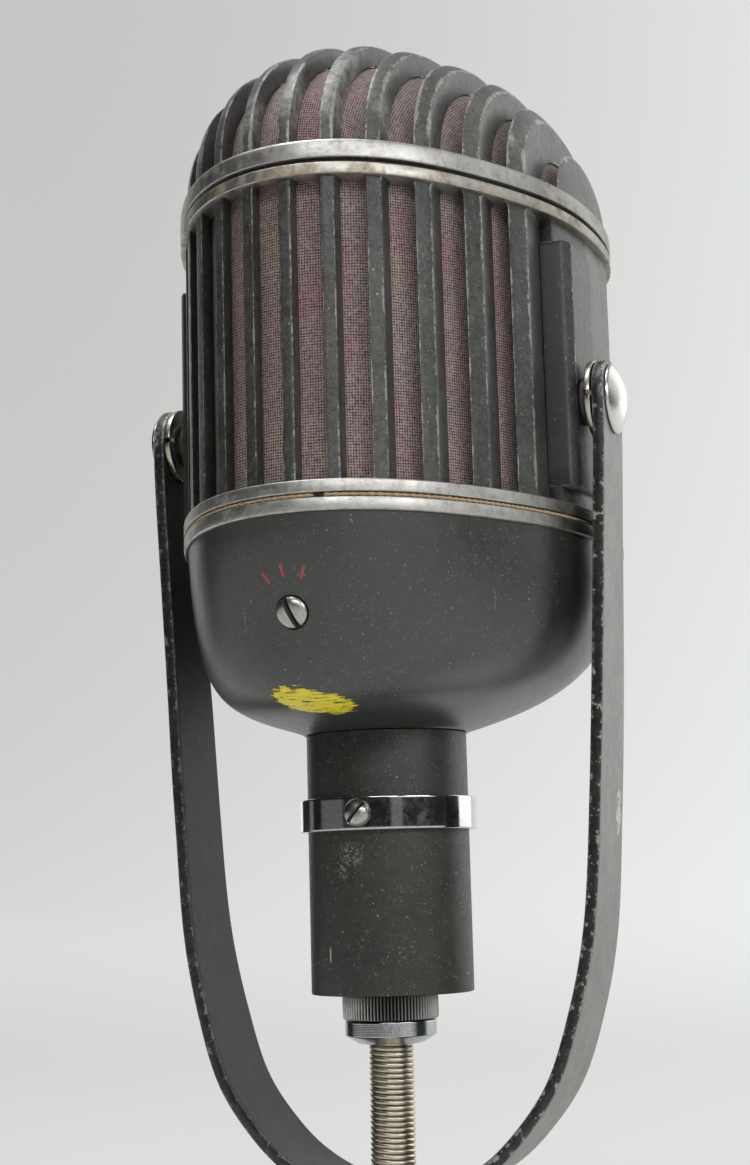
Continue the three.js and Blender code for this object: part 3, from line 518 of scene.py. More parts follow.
def fork_extra(n, col, r, bump):
    # painted highlight: the outer faces are painted paler than the edges, by which way they face; a few pale chips
    sep = n.new("ShaderNodeSeparateXYZ"); n.put(sep.inputs[0], n.new("ShaderNodeNewGeometry").outputs["Normal"])
    place = n.new("ShaderNodeSeparateXYZ"); n.put(place.inputs[0], n.pos)
    away = n.math("MULTIPLY", sep.outputs[0], n.math("SIGN", place.outputs[0]))
    out = n.map(n.math("ADD", n.math("MULTIPLY", away, 0.82), n.math("MULTIPLY", sep.outputs[2], -0.57)), 0.60, 0.80)
    side = n.map(n.math("ABSOLUTE", sep.outputs[1]), 0.8, 0.97)
    soft = n.noise(0.12, 4, 0.6, w=2.0)
    col = n.mix(n.math("MULTIPLY", out, n.map(soft, 0.3, 0.7, 0.5, 0.8)), col, (0.27, 0.275, 0.262))
    # painted shade: the faces turned in towards the head are painted near-black
    inner = n.map(n.math("MULTIPLY", sep.outputs[0], n.math("SIGN", place.outputs[0])), -0.2, -0.8)
    col = n.mix(n.math("MULTIPLY", inner, n.map(n.noise(0.25, 4, 0.65, w=8.0), 0.35, 0.65, 0.65, 0.95)), col, (0.008, 0.009, 0.008))
    r = n.mixf(inner, r, 0.62)
    # painted shade: the narrow front and back faces are painted a dark mottled tone
    narrow_face_shade = n.map(n.noise(0.45, 4, 0.65, w=4.0), 0.42, 0.62)
    col = n.mix(n.math("MULTIPLY", side, 0.85), col, n.mix(narrow_face_shade, (0.009, 0.010, 0.009), (0.030, 0.031, 0.029)))
    jag = n.map(n.noise(0.7, 4, 0.7, w=6.0), 0.44, 0.5)
    chip = n.math("MULTIPLY", both(n, n.blob((57.5, 8.6, 113.5), 1.6, 2.6), n.blob((57.3, 8.4, 109.0), 2.2, 3.2), n.blob((57.1, 8.0, 105.5), 1.2, 2.2)), jag)
    col = n.mix(chip, col, (0.52, 0.52, 0.49))
    # paint chipped from the narrow faces, thickest along their edges
    ed = n.attr("edge")
    near = n.map(ed, 0.0, 2.2, 0.17, 0.0)
    flake = n.map(n.math("ADD", n.noise(0.42, 5, 0.78, w=14.0), near), 0.685, 0.71)
    right = n.map(place.outputs[0], -10, 10, 0.0, 1.0)
    flake = n.math("MULTIPLY", n.math("MULTIPLY", flake, side), n.mixf(right, 0.35, 0.85))
    col = n.mix(flake, col, n.mix(n.noise(1.1, 3, 0.6, w=3.0), (0.22, 0.22, 0.205), (0.56, 0.56, 0.53)))
    r = n.mixf(n.math("MULTIPLY", side, n.math("SUBTRACT", 1.0, flake)), r, 0.26)
    left = n.math("MULTIPLY", n.blob((-61.5, -9, 213.5), 1.5, 3.6), n.map(n.noise(0.6, 4, 0.7, w=9.0), 0.42, 0.55))
    col = n.mix(n.math("MULTIPLY", left, 0.7), col, (0.42, 0.42, 0.40))
    return col, r, bump


def housing_extra(n, col, r, bump):
    jag = n.map(n.noise(1.3, 4, 0.75, w=1.0), 0.5, 0.55)
    a = n.math("MULTIPLY", both(n, n.blob((-2.5, -23, 101), 1, 4.2), n.blob((-5.0, -22.5, 97), 0.5, 2.6)), jag)
    sep = n.new("ShaderNodeSeparateXYZ"); n.put(sep.inputs[0], n.vm("SUBTRACT", n.pos, (-9.3, -20.8, 77.2)))
    x, y, z = sep.outputs
    d = n.math("ADD", n.math("POWER", n.math("DIVIDE", x, 0.32), 2.0), n.math("POWER", n.math("DIVIDE", z, 2.0), 2.0))
    b = n.map(d, 0.7, 1.1, 1.0, 0.0)
    c = n.math("MULTIPLY", n.blob((10.5, -20.2, 78.3), 2, 5), n.map(n.voro(0.9, vec=n.stretch(0.12, 1, 1.2, (0, 0.2, 0))), 0.10, 0.16, 1, 0))
    col = n.mix(n.math("MULTIPLY", both(n, a, c), 0.6), col, (0.36, 0.35, 0.31))
    col = n.mix(n.math("MULTIPLY", b, 0.8), col, (0.42, 0.40, 0.33))
    return col, r, bump


def pad_extra(n, col, r, bump):
    # painted shade: the pad's front faces are painted darker, by which way they face
    sep = n.new("ShaderNodeSeparateXYZ"); n.put(sep.inputs[0], n.new("ShaderNodeNewGeometry").outputs["Normal"])
    front = n.map(n.math("MULTIPLY", sep.outputs[1], -1.0), 0.8, 0.97)
    return n.mix(n.math("MULTIPLY", front, 0.6), col, (0.014, 0.015, 0.013)), n.mixf(front, r, 0.34), bump


def cage_extra(n, col, r, bump):
    # painted highlight: the side walls behind the pads, where they face sideways, are painted a little paler
    sep = n.new("ShaderNodeSeparateXYZ"); n.put(sep.inputs[0], n.new("ShaderNodeNewGeometry").outputs["Normal"])
    place = n.new("ShaderNodeSeparateXYZ"); n.put(place.inputs[0], n.pos)
    w = n.math("MULTIPLY", n.map(n.math("ABSOLUTE", sep.outputs[0]), 0.7, 0.9), n.map(place.outputs[1], 11.5, 13.0))
    w = n.math("MULTIPLY", w, n.map(n.math("ABSOLUTE", place.outputs[0]), 49.5, 50.5))
    return n.mix(n.math("MULTIPLY", w, n.map(n.noise(0.1, 3, 0.6, w=5.0), 0.3, 0.7, 0.5, 0.85)), col, (0.15, 0.153, 0.143)), r, bump


def knurl_extra(n, col):
    # darker towards the bottoms of the flutes
    place = n.new("ShaderNodeSeparateXYZ"); n.put(place.inputs[0], n.pos)
    x = n.math("SUBTRACT", place.outputs[0], PLUG_X)
    y = n.math("SUBTRACT", place.outputs[1], NECK_CY)
    rad = n.math("SQRT", n.math("ADD", n.math("MULTIPLY", x, x), n.math("MULTIPLY", y, y)))
    return n.mix(n.map(rad, 11.42, 11.80, 0.92, 0.0), col, (0.02, 0.02, 0.018))


def ring_extra(n, col):
    # painted shade: the rings are painted darker and warmer towards the right side, and a darker brown towards the left
    place = n.new("ShaderNodeSeparateXYZ"); n.put(place.inputs[0], n.pos)
    w = n.map(place.outputs[0], 40, 52, 0.0, 0.62, smooth=True)
    w = n.math("MULTIPLY", w, n.map(n.noise(0.18, 4, 0.7, w=3.0), 0.3, 0.6, 0.7, 1.0))
    col = n.mix(n.math("MULTIPLY", w, 1.15, clamp=True), col, (0.130, 0.120, 0.088))
    v = n.math("MULTIPLY", n.map(place.outputs[0], -26, -46, 0.0, 0.7, smooth=True), n.map(n.noise(0.22, 4, 0.7, w=9.0), 0.4, 0.6))
    return n.mix(v, col, (0.22, 0.175, 0.115))


MAT = {}
MAT["enamel_cage"] = enamel("enamel_cage", dark=(0.030, 0.031, 0.029), light=(0.058, 0.060, 0.055), edge="edge", edge_mm=0.5, edge_amt=0.7, edge_from=0.89, specks=1.2, scratch=0.3, grain=1.8, extra=cage_extra)
MAT["enamel_pad"] = enamel("enamel_pad", dark=(0.026, 0.028, 0.024), light=(0.046, 0.048, 0.043), edge="edge", edge_mm=0.7, edge_amt=0.75, edge_from=0.84, specks=1.0, scratch=0.2, extra=pad_extra)
MAT["enamel_dome"] = enamel("enamel_dome", dark=(0.045, 0.046, 0.042), light=(0.090, 0.090, 0.084), edge="edge", edge_mm=1.0, edge_amt=0.75, edge_from=0.88, specks=0.9, scratch=0.3, grain=1.5, extra=dome_extra)
MAT["enamel_bowl"] = enamel("enamel_bowl", dark=(0.014, 0.016, 0.013), light=(0.025, 0.027, 0.023), specks=0.8, scratch=0.3, rough=(0.31, 0.40), grain=0.6, gloss=1.0, extra=bowl_extra)
MAT["enamel_housing"] = enamel("enamel_housing", dark=(0.021, 0.023, 0.019), light=(0.035, 0.038, 0.031), specks=1.0, scratch=0.3, rough=(0.40, 0.50), grain=0.8, extra=housing_extra)
MAT["enamel_fork"] = enamel("enamel_fork", dark=(0.030, 0.031, 0.029), light=(0.062, 0.064, 0.060), edge="edge", edge_mm=1.0, edge_amt=0.85, edge_from=0.84, specks=0.8, scratch=0.6, rough=(0.34, 0.5), worn=(0.22, 0.22, 0.205), extra=fork_extra)
MAT["enamel_plain"] = enamel("enamel_plain", specks=0.5, scratch=0.2)
MAT["ring"] = metal("ring_alloy", (0.48, 0.48, 0.46), (0.66, 0.655, 0.63), (0.36, 0.52), brush=(0.05, 0.05, 3.0), stain=0.5, stain_col=(0.22, 0.165, 0.10), bumps=0.03, dark=0.4, spots=0.6, extra=ring_extra)
MAT["ring_stained"] = metal("ring_alloy_stained", (0.46, 0.445, 0.41), (0.64, 0.62, 0.56), (0.36, 0.52), brush=(0.05, 0.05, 3.0), stain=0.85, stain_col=(0.34, 0.25, 0.14), bumps=0.03, dark=0.5, spots=0.7, extra=ring_extra)
MAT["steel"] = metal("worn_steel", (0.42, 0.42, 0.40), (0.58, 0.58, 0.55), (0.24, 0.36), stain=0.15, dark=0.2, bumps=0.012)
MAT["bolt"] = metal("bolt_plate", (0.60, 0.60, 0.585), (0.68, 0.68, 0.665), (0.24, 0.30), dark=0.12, bumps=0.006)
MAT["washer"] = metal("washer_plate", (0.52, 0.49, 0.40), (0.66, 0.62, 0.52), (0.2, 0.3), stain=0.25, bumps=0.01)
MAT["knurl"] = metal("knurl_steel", (0.46, 0.46, 0.45), (0.62, 0.62, 0.60), (0.26, 0.36), stain=0.2, dark=0.2, bumps=0.012, extra=knurl_extra)
MAT["collar"] = metal("collar_plate", (0.40, 0.41, 0.42), (0.52, 0.53, 0.54), (0.14, 0.24), dark=0.25, bumps=0.008)
MAT["chrome"] = metal("chrome_plate", (0.52, 0.52, 0.54), (0.66, 0.66, 0.68), (0.06, 0.14), stain=0.10, dark=0.3, bumps=0.008, spots=0.6)
MAT["nickel"] = metal("warm_nickel", (0.56, 0.51, 0.40), (0.72, 0.66, 0.54), (0.25, 0.38), stain=0.3, dark=0.35, bumps=0.02)
MAT["brass"] = metal("brass_pin", (0.62, 0.46, 0.20), (0.74, 0.57, 0.28), (0.22, 0.34), stain=0.2)
MAT["alloy"] = metal("chassis_alloy", (0.52, 0.52, 0.50), (0.66, 0.66, 0.64), (0.35, 0.5), brush=(0.1, 2.0, 0.1))
MAT["magnet"] = metal("magnet_iron", (0.20, 0.20, 0.20), (0.30, 0.30, 0.29), (0.5, 0.7), stain=0.4, bumps=0.05)
MAT["foil"] = metal("foil", (0.80, 0.80, 0.80), (0.88, 0.88, 0.88), (0.2, 0.35), bumps=0.01)
MAT["cloth"] = cloth("screen_cloth")
MAT["felt"] = felt("black_felt", (0.012, 0.010, 0.008), (0.06, 0.045, 0.025))
# the near-black spot on the cord is painted shade standing in for a hole
MAT["cord"] = felt("tan_cord", (0.34, 0.22, 0.12), (0.66, 0.50, 0.31), 2.0, hole=((7.4, -63.9, 181.8), 1.7))
MAT["paper"] = felt("fibre_board", (0.34, 0.22, 0.10), (0.46, 0.31, 0.16), 1.2)
MAT["bakelite"] = enamel("moulded_insulator", dark=(0.016, 0.010, 0.008), light=(0.03, 0.02, 0.015), specks=0.2, scratch=0.1, rough=(0.2, 0.32))
# near-black material for the insides of cut slots: painted shade
MAT["grime"] = felt("slot_grime", (0.008, 0.008, 0.007), (0.03, 0.028, 0.024), 2.0)
MAT["red"] = felt("red_mark", (0.30, 0.03, 0.04), (0.52, 0.11, 0.12), 2.5)

# ---------------------------------------------------------------- dome
def dome_curve(x0, inset, H, n):
    """(n, 2) of Y, Z: where the dome surface at that inset crosses X = x0, front to back over the top."""
    xm = outline(TH, inset)[0].max()
    smin = min(0.9999, abs(x0) / xm)
    fm = math.acos(min(1.0, smin ** (1 / EXPO))) if smin > 0 else math.pi / 2
    t = 1 - (1 - np.linspace(0, 1, 400)) ** 2
    f = fm * t
    s = np.maximum(np.cos(f), 1e-9) ** EXPO
    z = DOME_RING_TOP + H * np.sin(f) ** EXPO
    xs = np.clip(x0 / s, -xm, xm)
    yf = OUT_CY + (crossing(xs, inset, True) - OUT_CY) * s
    yb = OUT_CY + (crossing(xs, inset, False) - OUT_CY) * s
    y = np.concatenate([yf, yb[::-1]]); zz = np.concatenate([z, z[::-1]])
    d = np.concatenate([[0], np.cumsum(np.hypot(np.diff(y), np.diff(zz)))])
    q = np.linspace(0, d[-1], n)
    return np.stack([np.interp(q, d, y), np.interp(q, d, zz)], 1)


def inward(c):
    """Unit normals pointing under the curve."""
    t = np.gradient(c, axis=0)
    t /= np.linalg.norm(t, axis=1)[:, None]
    return np.stack([t[:, 1], -t[:, 0]], 1)


def rib(x0, w, nst=110, r=0.45, depth=4.7):
    """Closed shell of one rib."""
    h = w / 2
    prof = [(-h, 2.2, 2.2), (-h, r, r), (-h + 0.3 * r, 0.3 * r, 0.0), (-h + r, 0, r * 0.6), (-h * 0.35, -0.06, h * 0.65), (h * 0.35, -0.06, h * 0.65),
            (h - r, 0, r * 0.6), (h - 0.3 * r, 0.3 * r, 0.0), (h, r, r), (h, 2.2, 2.2)]
    cols, edge = [], []
    for dx, dep, e in prof:
        c = dome_curve(x0 + dx, 1.3, DOME_H, nst)
        c = c + inward(c) * dep
        cols.append(np.column_stack([np.full(nst, x0 + dx), c])); edge.append(e)
    for dx in (h, -h):
        c = dome_curve(x0 + dx, 1.3 + depth, DOME_H - depth, nst)
        cols.append(np.column_stack([np.full(nst, x0 + dx), c])); edge.append(9.0)
    g = np.stack(cols, 1)                      # (station, profile, 3)
    g[1:-1] = g[1:-1]
    first, last = g[0].copy(), g[-1].copy()
    first[:, 2] = DOME_RING_TOP - 1.2; last[:, 2] = DOME_RING_TOP - 1.2
    g = np.concatenate([first[None], g, last[None]])
    v, f = loft(g)
    return v, f, np.tile(edge, len(g))


def side_cap(sign):
    xm = outline(TH, 1.3)[0].max()
    xs = DOME_SIDE_X + (xm - DOME_SIDE_X) * (1 - (1 - np.linspace(0, 1, 22)) ** 2) * 0.9996
    xs = np.concatenate([[DOME_SIDE_X, DOME_SIDE_X + 0.15], xs[1:]])
    rings, edge = [], []
    for i, x in enumerate(xs):
        c = dome_curve(x, 1.3, DOME_H, 90)
        if i == 0:
            c = c + inward(c) * 0.35
        y0, y1 = c[0, 0], c[-1, 0]
        bot = np.column_stack([np.linspace(y1, y0, 12), np.full(12, DOME_RING_TOP - 1.2)])
        ring = np.concatenate([c, bot])
        rings.append(np.column_stack([np.full(len(ring), sign * x), ring]))
        edge += [0.0 if i < 2 else (x - DOME_SIDE_X)] * len(ring)
    v, f = loft(np.array(rings))
    return v, f, edge


dome = Shells()
v, f = oval_loft([(0, DOME_RING_BOT), (0, DOME_RING_TOP), (5.6, DOME_RING_TOP), (5.6, DOME_RING_BOT)], rad=[0.35, 0.9, 0.3, 0.3])
ring_faces = len(f)
dome_ring = Shells(); dome_ring.add(v, f)
for x in BAR_X:
    for s in ((1, -1) if x else (1,)):
        dome.add(*rib(s * x, BAR_W))
for s in (1, -1):
    dome.add(*side_cap(s))
dome.v += [v]; dome.f += [tuple(i + dome.n for i in q) for q in dome_ring.f]; dome.a.append(np.full(len(v), 9.0)); ndome = dome.n; dome.n += len(v)
o = dome.make("dome_cage_ribs", MAT["enamel_dome"], body="head", replaces="dome_cage", slot="dark_enamel")
o.data.materials.append(MAT["ring"])
idx = np.zeros(len(o.data.polygons), np.int32); idx[-ring_faces:] = 1
o.data.polygons.foreach_set("material_index", idx)


def dome_shell_rings(inset, H, n, zb):
    fs = np.array([1e-9, .05, .1, .17, .25, .34, .44, .55, .67, .8, .93, 1.06, 1.18, 1.29, 1.39, 1.47, 1.53])
    t = np.linspace(0, 2 * np.pi, n, endpoint=False)
    x, y = outline(t, inset)
    rings = [np.stack([x, y, np.full(n, zb)], 1)]
    for q in fs:
        s, h = math.cos(q) ** EXPO, math.sin(q) ** EXPO
        rings.append(np.stack([x * s, OUT_CY + (y - OUT_CY) * s, np.full(n, DOME_RING_TOP + H * h)], 1))
    return rings


n = 200
outer = dome_shell_rings(6.35, 38.0 - 0.05, n, DOME_RING_BOT + 0.7)
inner = dome_shell_rings(7.0, 37.2, n, DOME_RING_BOT + 0.7)
rings = np.array(outer[::-1] + inner)
v, f = loft(rings, pole0=(0, OUT_CY, DOME_RING_TOP + 37.98), pole1=(0, OUT_CY, DOME_RING_TOP + 37.2))
# weave coordinates: the cloth spread flat from the crown, so the threads run straight over it
def spread(ringset, top):
    pts = np.array(ringset)[::-1]
    steps = np.diff(np.concatenate([np.broadcast_to(top, pts[:1].shape), pts]), axis=0)
    far_ = np.cumsum(np.linalg.norm(steps, axis=2), axis=0)
    out = pts[:, :, :2] - np.array([0, OUT_CY])
    out /= np.maximum(np.linalg.norm(out, axis=2, keepdims=True), 1e-9)
    return (far_[..., None] * out)[::-1]
flat_o = spread(outer, (0, OUT_CY, DOME_RING_TOP + 37.98))
flat_i = spread(inner, (0, OUT_CY, DOME_RING_TOP + 37.2))
flat_all = np.concatenate([flat_o[::-1].reshape(-1, 2), flat_i.reshape(-1, 2), np.zeros((len(v) - 2 * flat_o.shape[0] * n, 2))])
arc, rise = flat_all[:, 0], flat_all[:, 1]
o = link("dome_screen_cloth", v, f, MAT["cloth"], body="head", replaces="dome_screen", slot="screen_cloth", smooth=60, attrs={"arc": arc, "rise": rise})

v, f = oval_loft([(1.3, CAGE_TOP + 0.25), (1.3, DOME_RING_BOT - 0.25), (5.2, DOME_RING_BOT - 0.25), (5.2, CAGE_TOP + 0.25)], n=300, rad=0.25)
v = v + np.random.default_rng(3).normal(0, 0.05, v.shape) * [1, 1, 0.4]
link("dome_felt", v, f, MAT["felt"], body="head", replaces="dome_gasket", slot="felt", smooth=60)

# ---------------------------------------------------------------- body cage
cage = Shells()
def bar(x0, front, w=BAR_W, r=0.4, z0=CAGE_LOW_RING - 1.2, z1=CAGE_TOP_RING + 1.2):
    sgn = 1 if front else -1
    zs = np.concatenate([[z0], np.linspace(CAGE_LOW_RING, CAGE_TOP_RING - 1.6, 36), np.linspace(CAGE_TOP_RING - 1.2, CAGE_TOP_RING, 6), [z1]])
    rings, edge = [], []
    for z in zs:
        q = max(0.0, min(1.0, (z - (CAGE_TOP_RING - 1.3)) / 1.3))
        h = w / 2 + 0.45 * q * q
        ring = []
        for dx, dep, e in [(-h, 2.0, 2.0), (-h, r, r), (-h + 0.3 * r, 0.3 * r, 0), (-h + r, 0, 0.6 * r), (-h * 0.35, 0, h * .65), (h * 0.35, 0, h * .65), (h - r, 0, 0.6 * r), (h - 0.3 * r, 0.3 * r, 0), (h, r, r), (h, 2.0, 2.0)]:
            ring.append((x0 + dx, float(crossing(x0 + dx, 1.3, front)) + sgn * dep, z)); edge.append(e)
        for dx in (h, -h):
            ring.append((x0 + dx, float(crossing(x0 + dx, 5.3, front)), z)); edge.append(9.0)
        rings.append(ring)
    v, f = loft(np.array(rings))
    cage.add(v, f, edge)


for x in BAR_X:
    for s in ((1, -1) if x else (1,)):
        bar(s * x, True); bar(s * x, False)
for s in (1, -1):
    bar(s * 51.4, False)


def th_at(yy, inset):
    """theta on the right side where the outline at inset has that Y."""
    t = np.linspace(0.3, np.pi - 0.05, 4000)
    y = outline(t, inset)[1]
    return float(np.interp(yy, y, t))


pad_faces = []
for s in (1, -1):
    # side wall, recessed behind the pad
    t = np.linspace(th_at(-8.7, 2.0), th_at(27, 2.0), 30)
    xo, yo = outline(t, 2.0); xi, yi = outline(t, 5.3)
    poly = np.concatenate([np.column_stack([xo, yo]), np.column_stack([xi, yi])[::-1]])
    poly = fillet(poly, [0.3 if i in (0, 29, 30, 59) else 0 for i in range(60)], 2)
    zs = [CAGE_LOW_RING - 1.2, CAGE_LOW_RING, 222, CAGE_TOP_RING, CAGE_TOP_RING + 1.2]
    v, f = loft(np.array([[[s * a, b, z] for a, b in poly] for z in zs]))
    cage.add(v, f)
    # pivot pad: a long block with a chamfered front corner and softened ends
    base = [(46.9, -9.2), (52.4, -9.2), (54.3, -6.7), (54.3, 12.5), (53.3, 12.5), (46.9, 12.5)]
    c = fillet(base, [0, 0.5, 0.5, 0.5, 0, 0], 3)
    def scaled(k, zz):
        q = c.copy()
        q[:, 0] = np.minimum(q[:, 0], 54.3 - k)
        q[:, 1] = np.clip(q[:, 1], -9.2 + k, 12.5 - k * 0.7)
        return [[s * a, b, zz] for a, b in q]
    ks = [(1.0, 0.0), (0.55, 0.13), (0.25, 0.35), (0.07, 0.65), (0.0, 1.0)]
    z0, z1 = 189.6, 252.6
    rings = [scaled(k, z0 + d) for k, d in ks] + [scaled(0, zz) for zz in np.linspace(195, 247, 12)] + [scaled(k, z1 - d) for k, d in ks[::-1]]
    v, f = loft(np.array(rings))
    ex = np.abs(v[:, 0])
    e = np.minimum(np.minimum(np.abs(v[:, 2] - z0), np.abs(v[:, 2] - z1)), np.hypot(ex - 54.2, v[:, 1] - 12.4))
    e = np.minimum(e, np.hypot(ex - 52.4, v[:, 1] + 9.2) * 3.0)
    e = np.minimum(e, np.hypot(ex - 54.3, v[:, 1] + 6.7) * 2.2)
    pad_from = len(cage.f)
    cage.add(v, f, e)
    pad_faces.append((pad_from, len(cage.f)))

ring_from = [len(cage.f)]
for zb, zt, rr in ((CAGE_BOT, CAGE_LOW_RING, [0.3, 0.45, 0.3, 0.3]), (CAGE_TOP_RING, CAGE_TOP, [0.4, 0.3, 0.3, 0.3])):
    v, f = oval_loft([(0, zb), (0, zt), (5.2, zt), (5.2, zb)], rad=rr)
    cage.add(v, f)
    ring_from.append(len(cage.f))
o = cage.make("body_cage_bars", MAT["enamel_cage"], body="head", replaces="body_cage", slot="dark_enamel")
o.data.materials.append(MAT["ring"]); o.data.materials.append(MAT["ring_stained"]); o.data.materials.append(MAT["enamel_pad"])
idx = np.zeros(len(o.data.polygons), np.int32); idx[ring_from[0]:ring_from[1]] = 1; idx[ring_from[1]:] = 2
for a_, b_ in pad_faces:
    idx[a_:b_] = 3
o.data.polygons.foreach_set("material_index", idx)

# body screen: cloth stretched behind the bars, drawn in a little between them
t = np.linspace(0, 2 * np.pi, 480, endpoint=False)
arc1 = np.concatenate([[0], np.cumsum(np.hypot(*np.diff(np.stack(outline(t, 5.5)), axis=1)))])
rngc = np.random.default_rng(11)
zs = np.linspace(CAGE_BOT + 0.3, CAGE_TOP - 0.3, 40)
ph = rngc.uniform(0, 6.28, 5)
def screen_ring(base, z):
    q = (z - zs[0]) / (zs[-1] - zs[0])
    wave = 0.10 * np.sin(9 * t + ph[0] + 3 * q) + 0.07 * np.sin(23 * t + ph[1] - 5 * q) + 0.05 * np.sin(41 * t + ph[2] + 9 * q)
    x, y = outline(t, base + np.minimum(1, 6 * q * (1 - q)) * (0.12 + wave))
    return np.stack([x, y, np.full_like(x, z)], 1)
rings = np.array([screen_ring(5.55, z) for z in zs] + [screen_ring(6.25, z) for z in zs[::-1]])
v, f = loft(rings, wrap=True)
arc = np.tile(arc1[:480], 80); rise = v[:, 2]
BODY_CLOTH = link("body_screen_cloth", v, f, MAT["cloth"], body="head", replaces="body_screen", slot="screen_cloth", smooth=60, attrs={"arc": arc, "rise": rise})

# seam cord: two strands twisted round each other in the joint
sc = Shells()
tt = np.linspace(0, 2 * np.pi, 1500, endpoint=False)
L = 330.0
for k in (0, 1):
    xo, yo = outline(tt, 0.75)
    xn, yn = outline(tt, 1.75)
    nx, ny = xo - xn, yo - yn
    a = tt * (L / 3.0) + k * np.pi
    r0, r1 = 0.17, 0.26
    cx, cy, cz = xo + nx * r0 * np.cos(a), yo + ny * r0 * np.cos(a), (CAGE_BOT + BOWL_TOP) / 2 + r0 * np.sin(a)
    ring = []
    for j in range(6):
        b = 2 * np.pi * j / 6
        ring.append(np.stack([cx + nx * r1 * np.cos(b), cy + ny * r1 * np.cos(b), cz + r1 * np.sin(b)], 1))
    g = np.stack(ring, 1)
    v, f = loft(g, wrap=True)
    sc.add(v, f)
v, f = oval_loft([(1.6, BOWL_TOP + 0.3), (1.6, CAGE_BOT - 0.3), (4.8, CAGE_BOT - 0.3), (4.8, BOWL_TOP + 0.3)], rad=0.15)
sc.add(v, f)
sc.make("seam_cord_twist", MAT["cord"], body="head", replaces="seam_cord", slot="seam_cord", smooth=70)

# ---------------------------------------------------------------- bowl
S_NECK, SY_NECK = 0.383, 0.44
def bowl_ring(s, inset, drop, n=220):
    mx, my = 2.7, 1.6
    tN = (1 - S_NECK ** mx) ** (1 / mx); tNy = (1 - SY_NECK ** my) ** (1 / my)
    t = max(0.0, 1 - s ** mx) ** (1 / mx) / tN
    sy = max(0.0, 1 - (t * tNy) ** my) ** (1 / my)
    u = (1 - s) / (1 - S_NECK); b = u ** 4; neck = 20.8 - inset + 1.2
    cy = OUT_CY + (NECK_CY - OUT_CY) * u - 40 * u * (1 - u)
    z = 178.3 - (178.3 - BOWL_END) * t + drop * t
    a = np.linspace(0, 2 * np.pi, n, endpoint=False)
    x, y = outline(a, inset)
    return np.stack([(1 - b) * s * x + b * neck * np.sin(a), (1 - b) * (cy + sy * (y - OUT_CY)) + b * (NECK_CY - neck * np.cos(a)), np.full(n, z)], 1)


def circle_ring(r, z, n=220):
    a = np.linspace(0, 2 * np.pi, n, endpoint=False)
    return np.stack([r * np.sin(a), NECK_CY - r * np.cos(a), np.full(n, z)], 1)


# stations spaced evenly in depth near the rim and in s lower down
u_t = np.linspace(0, 1, 46)[1:]
tNx = (1 - S_NECK ** 2.7) ** (1 / 2.7)
S_list = [max(S_NECK, (1 - (min(1, q) * tNx) ** 2.7) ** (1 / 2.7)) for q in np.sin(u_t * np.pi / 2) ** 1.0]
S_list[-1] = S_NECK
rim = fillet([(0, BOWL_TOP), (0, BOWL_RING_BOT + 0.2), (1.1, BOWL_RING_BOT)], [0.4, 0.7, 0], 4, closed=False)
rim = [(0.35, BOWL_TOP), (0.1, BOWL_TOP - 0.1), (0, BOWL_TOP - 0.4), (0, BOWL_RING_BOT + 0.75), (0.12, BOWL_RING_BOT + 0.35), (0.45, BOWL_RING_BOT + 0.08), (1.05, BOWL_RING_BOT)]
rings = [oval_loop(i, z, 220) for i, z in rim]
nrim = len(rings)
rings += [bowl_ring(s, 1.2, 0) for s in S_list]
rings += [circle_ring(18.5, BOWL_END), circle_ring(18.3, 131.0), circle_ring(18.3, 99.3), circle_ring(18.0, 99.0), circle_ring(15.9, 99.0), circle_ring(15.6, 99.3), circle_ring(15.6, BOWL_END + 3.2)]
rings += [bowl_ring(s, 4.2, 2.8) for s in S_list[::-3]][1:]
rings += [oval_loop(4.3, BOWL_RING_BOT, 220), oval_loop(5.2, BOWL_TOP, 220)]
v, f = loft(np.array(rings), wrap=True)
bowl = link("bowl_casting", v, f, MAT["enamel_bowl"], smooth=32, attrs={"edge": np.full(len(v), 9.0)})
bowl.data.materials.append(MAT["ring"])
cen = np.array([p.center[:] for p in bowl.data.polygons])
idx = (cen[:, 2] > (BOWL_RING_BOT + 0.12) * MM).astype(np.int32)
bowl.data.polygons.foreach_set("material_index", idx)

SEL_AXIS = Vector((0, -math.cos(SEL_TILT), -math.sin(SEL_TILT)))
SEL_M = Matrix.Translation(Vector(SEL)) @ Vector((0, 0, 1)).rotation_difference(SEL_AXIS).to_matrix().to_4x4()


def cutter(v, f):
    me = bpy.data.meshes.new("cutter")
    me.from_pydata((np.asarray(v) * MM).tolist(), [], f); me.update()
    import bmesh
    bm = bmesh.new(); bm.from_mesh(me); bmesh.ops.recalc_face_normals(bm, faces=bm.faces); bm.to_mesh(me); bm.free()
    o = bpy.data.objects.new("cutter", me); scene.collection.objects.link(o)
    return o


def boolean(o, cuts, mode="DIFFERENCE"):
    for v, f in cuts:
        c = cutter(v, f)
        m = o.modifiers.new("b", "BOOLEAN"); m.operation = mode; m.object = c; m.solver = "EXACT"
        dg = bpy.context.evaluated_depsgraph_get()
        me = bpy.data.meshes.new_from_object(o.evaluated_get(dg))
        o.modifiers.clear()
        old = o.data; o.data = me; bpy.data.meshes.remove(old)
        bpy.data.objects.remove(c)


def paint_slot_shade(o, M, half, floor, axis=1):
    """Gives the walls and floor of a cut slot a near-black material: painted shade inside the slot."""
    inv = M.inverted()
    o.data.materials.append(MAT["grime"])
    k = len(o.data.materials) - 1
    for p in o.data.polygons:
        q = inv @ (p.center / MM)
        if abs(q[axis]) < half + 0.01 and q.z > floor - 0.02:
            p.material_index = k


def cyl(r, z0, z1, seg=48):
    return lathe([(0, z0), (r, z0), (r, z1), (0, z1)], seg, rad=0.0, n=1)


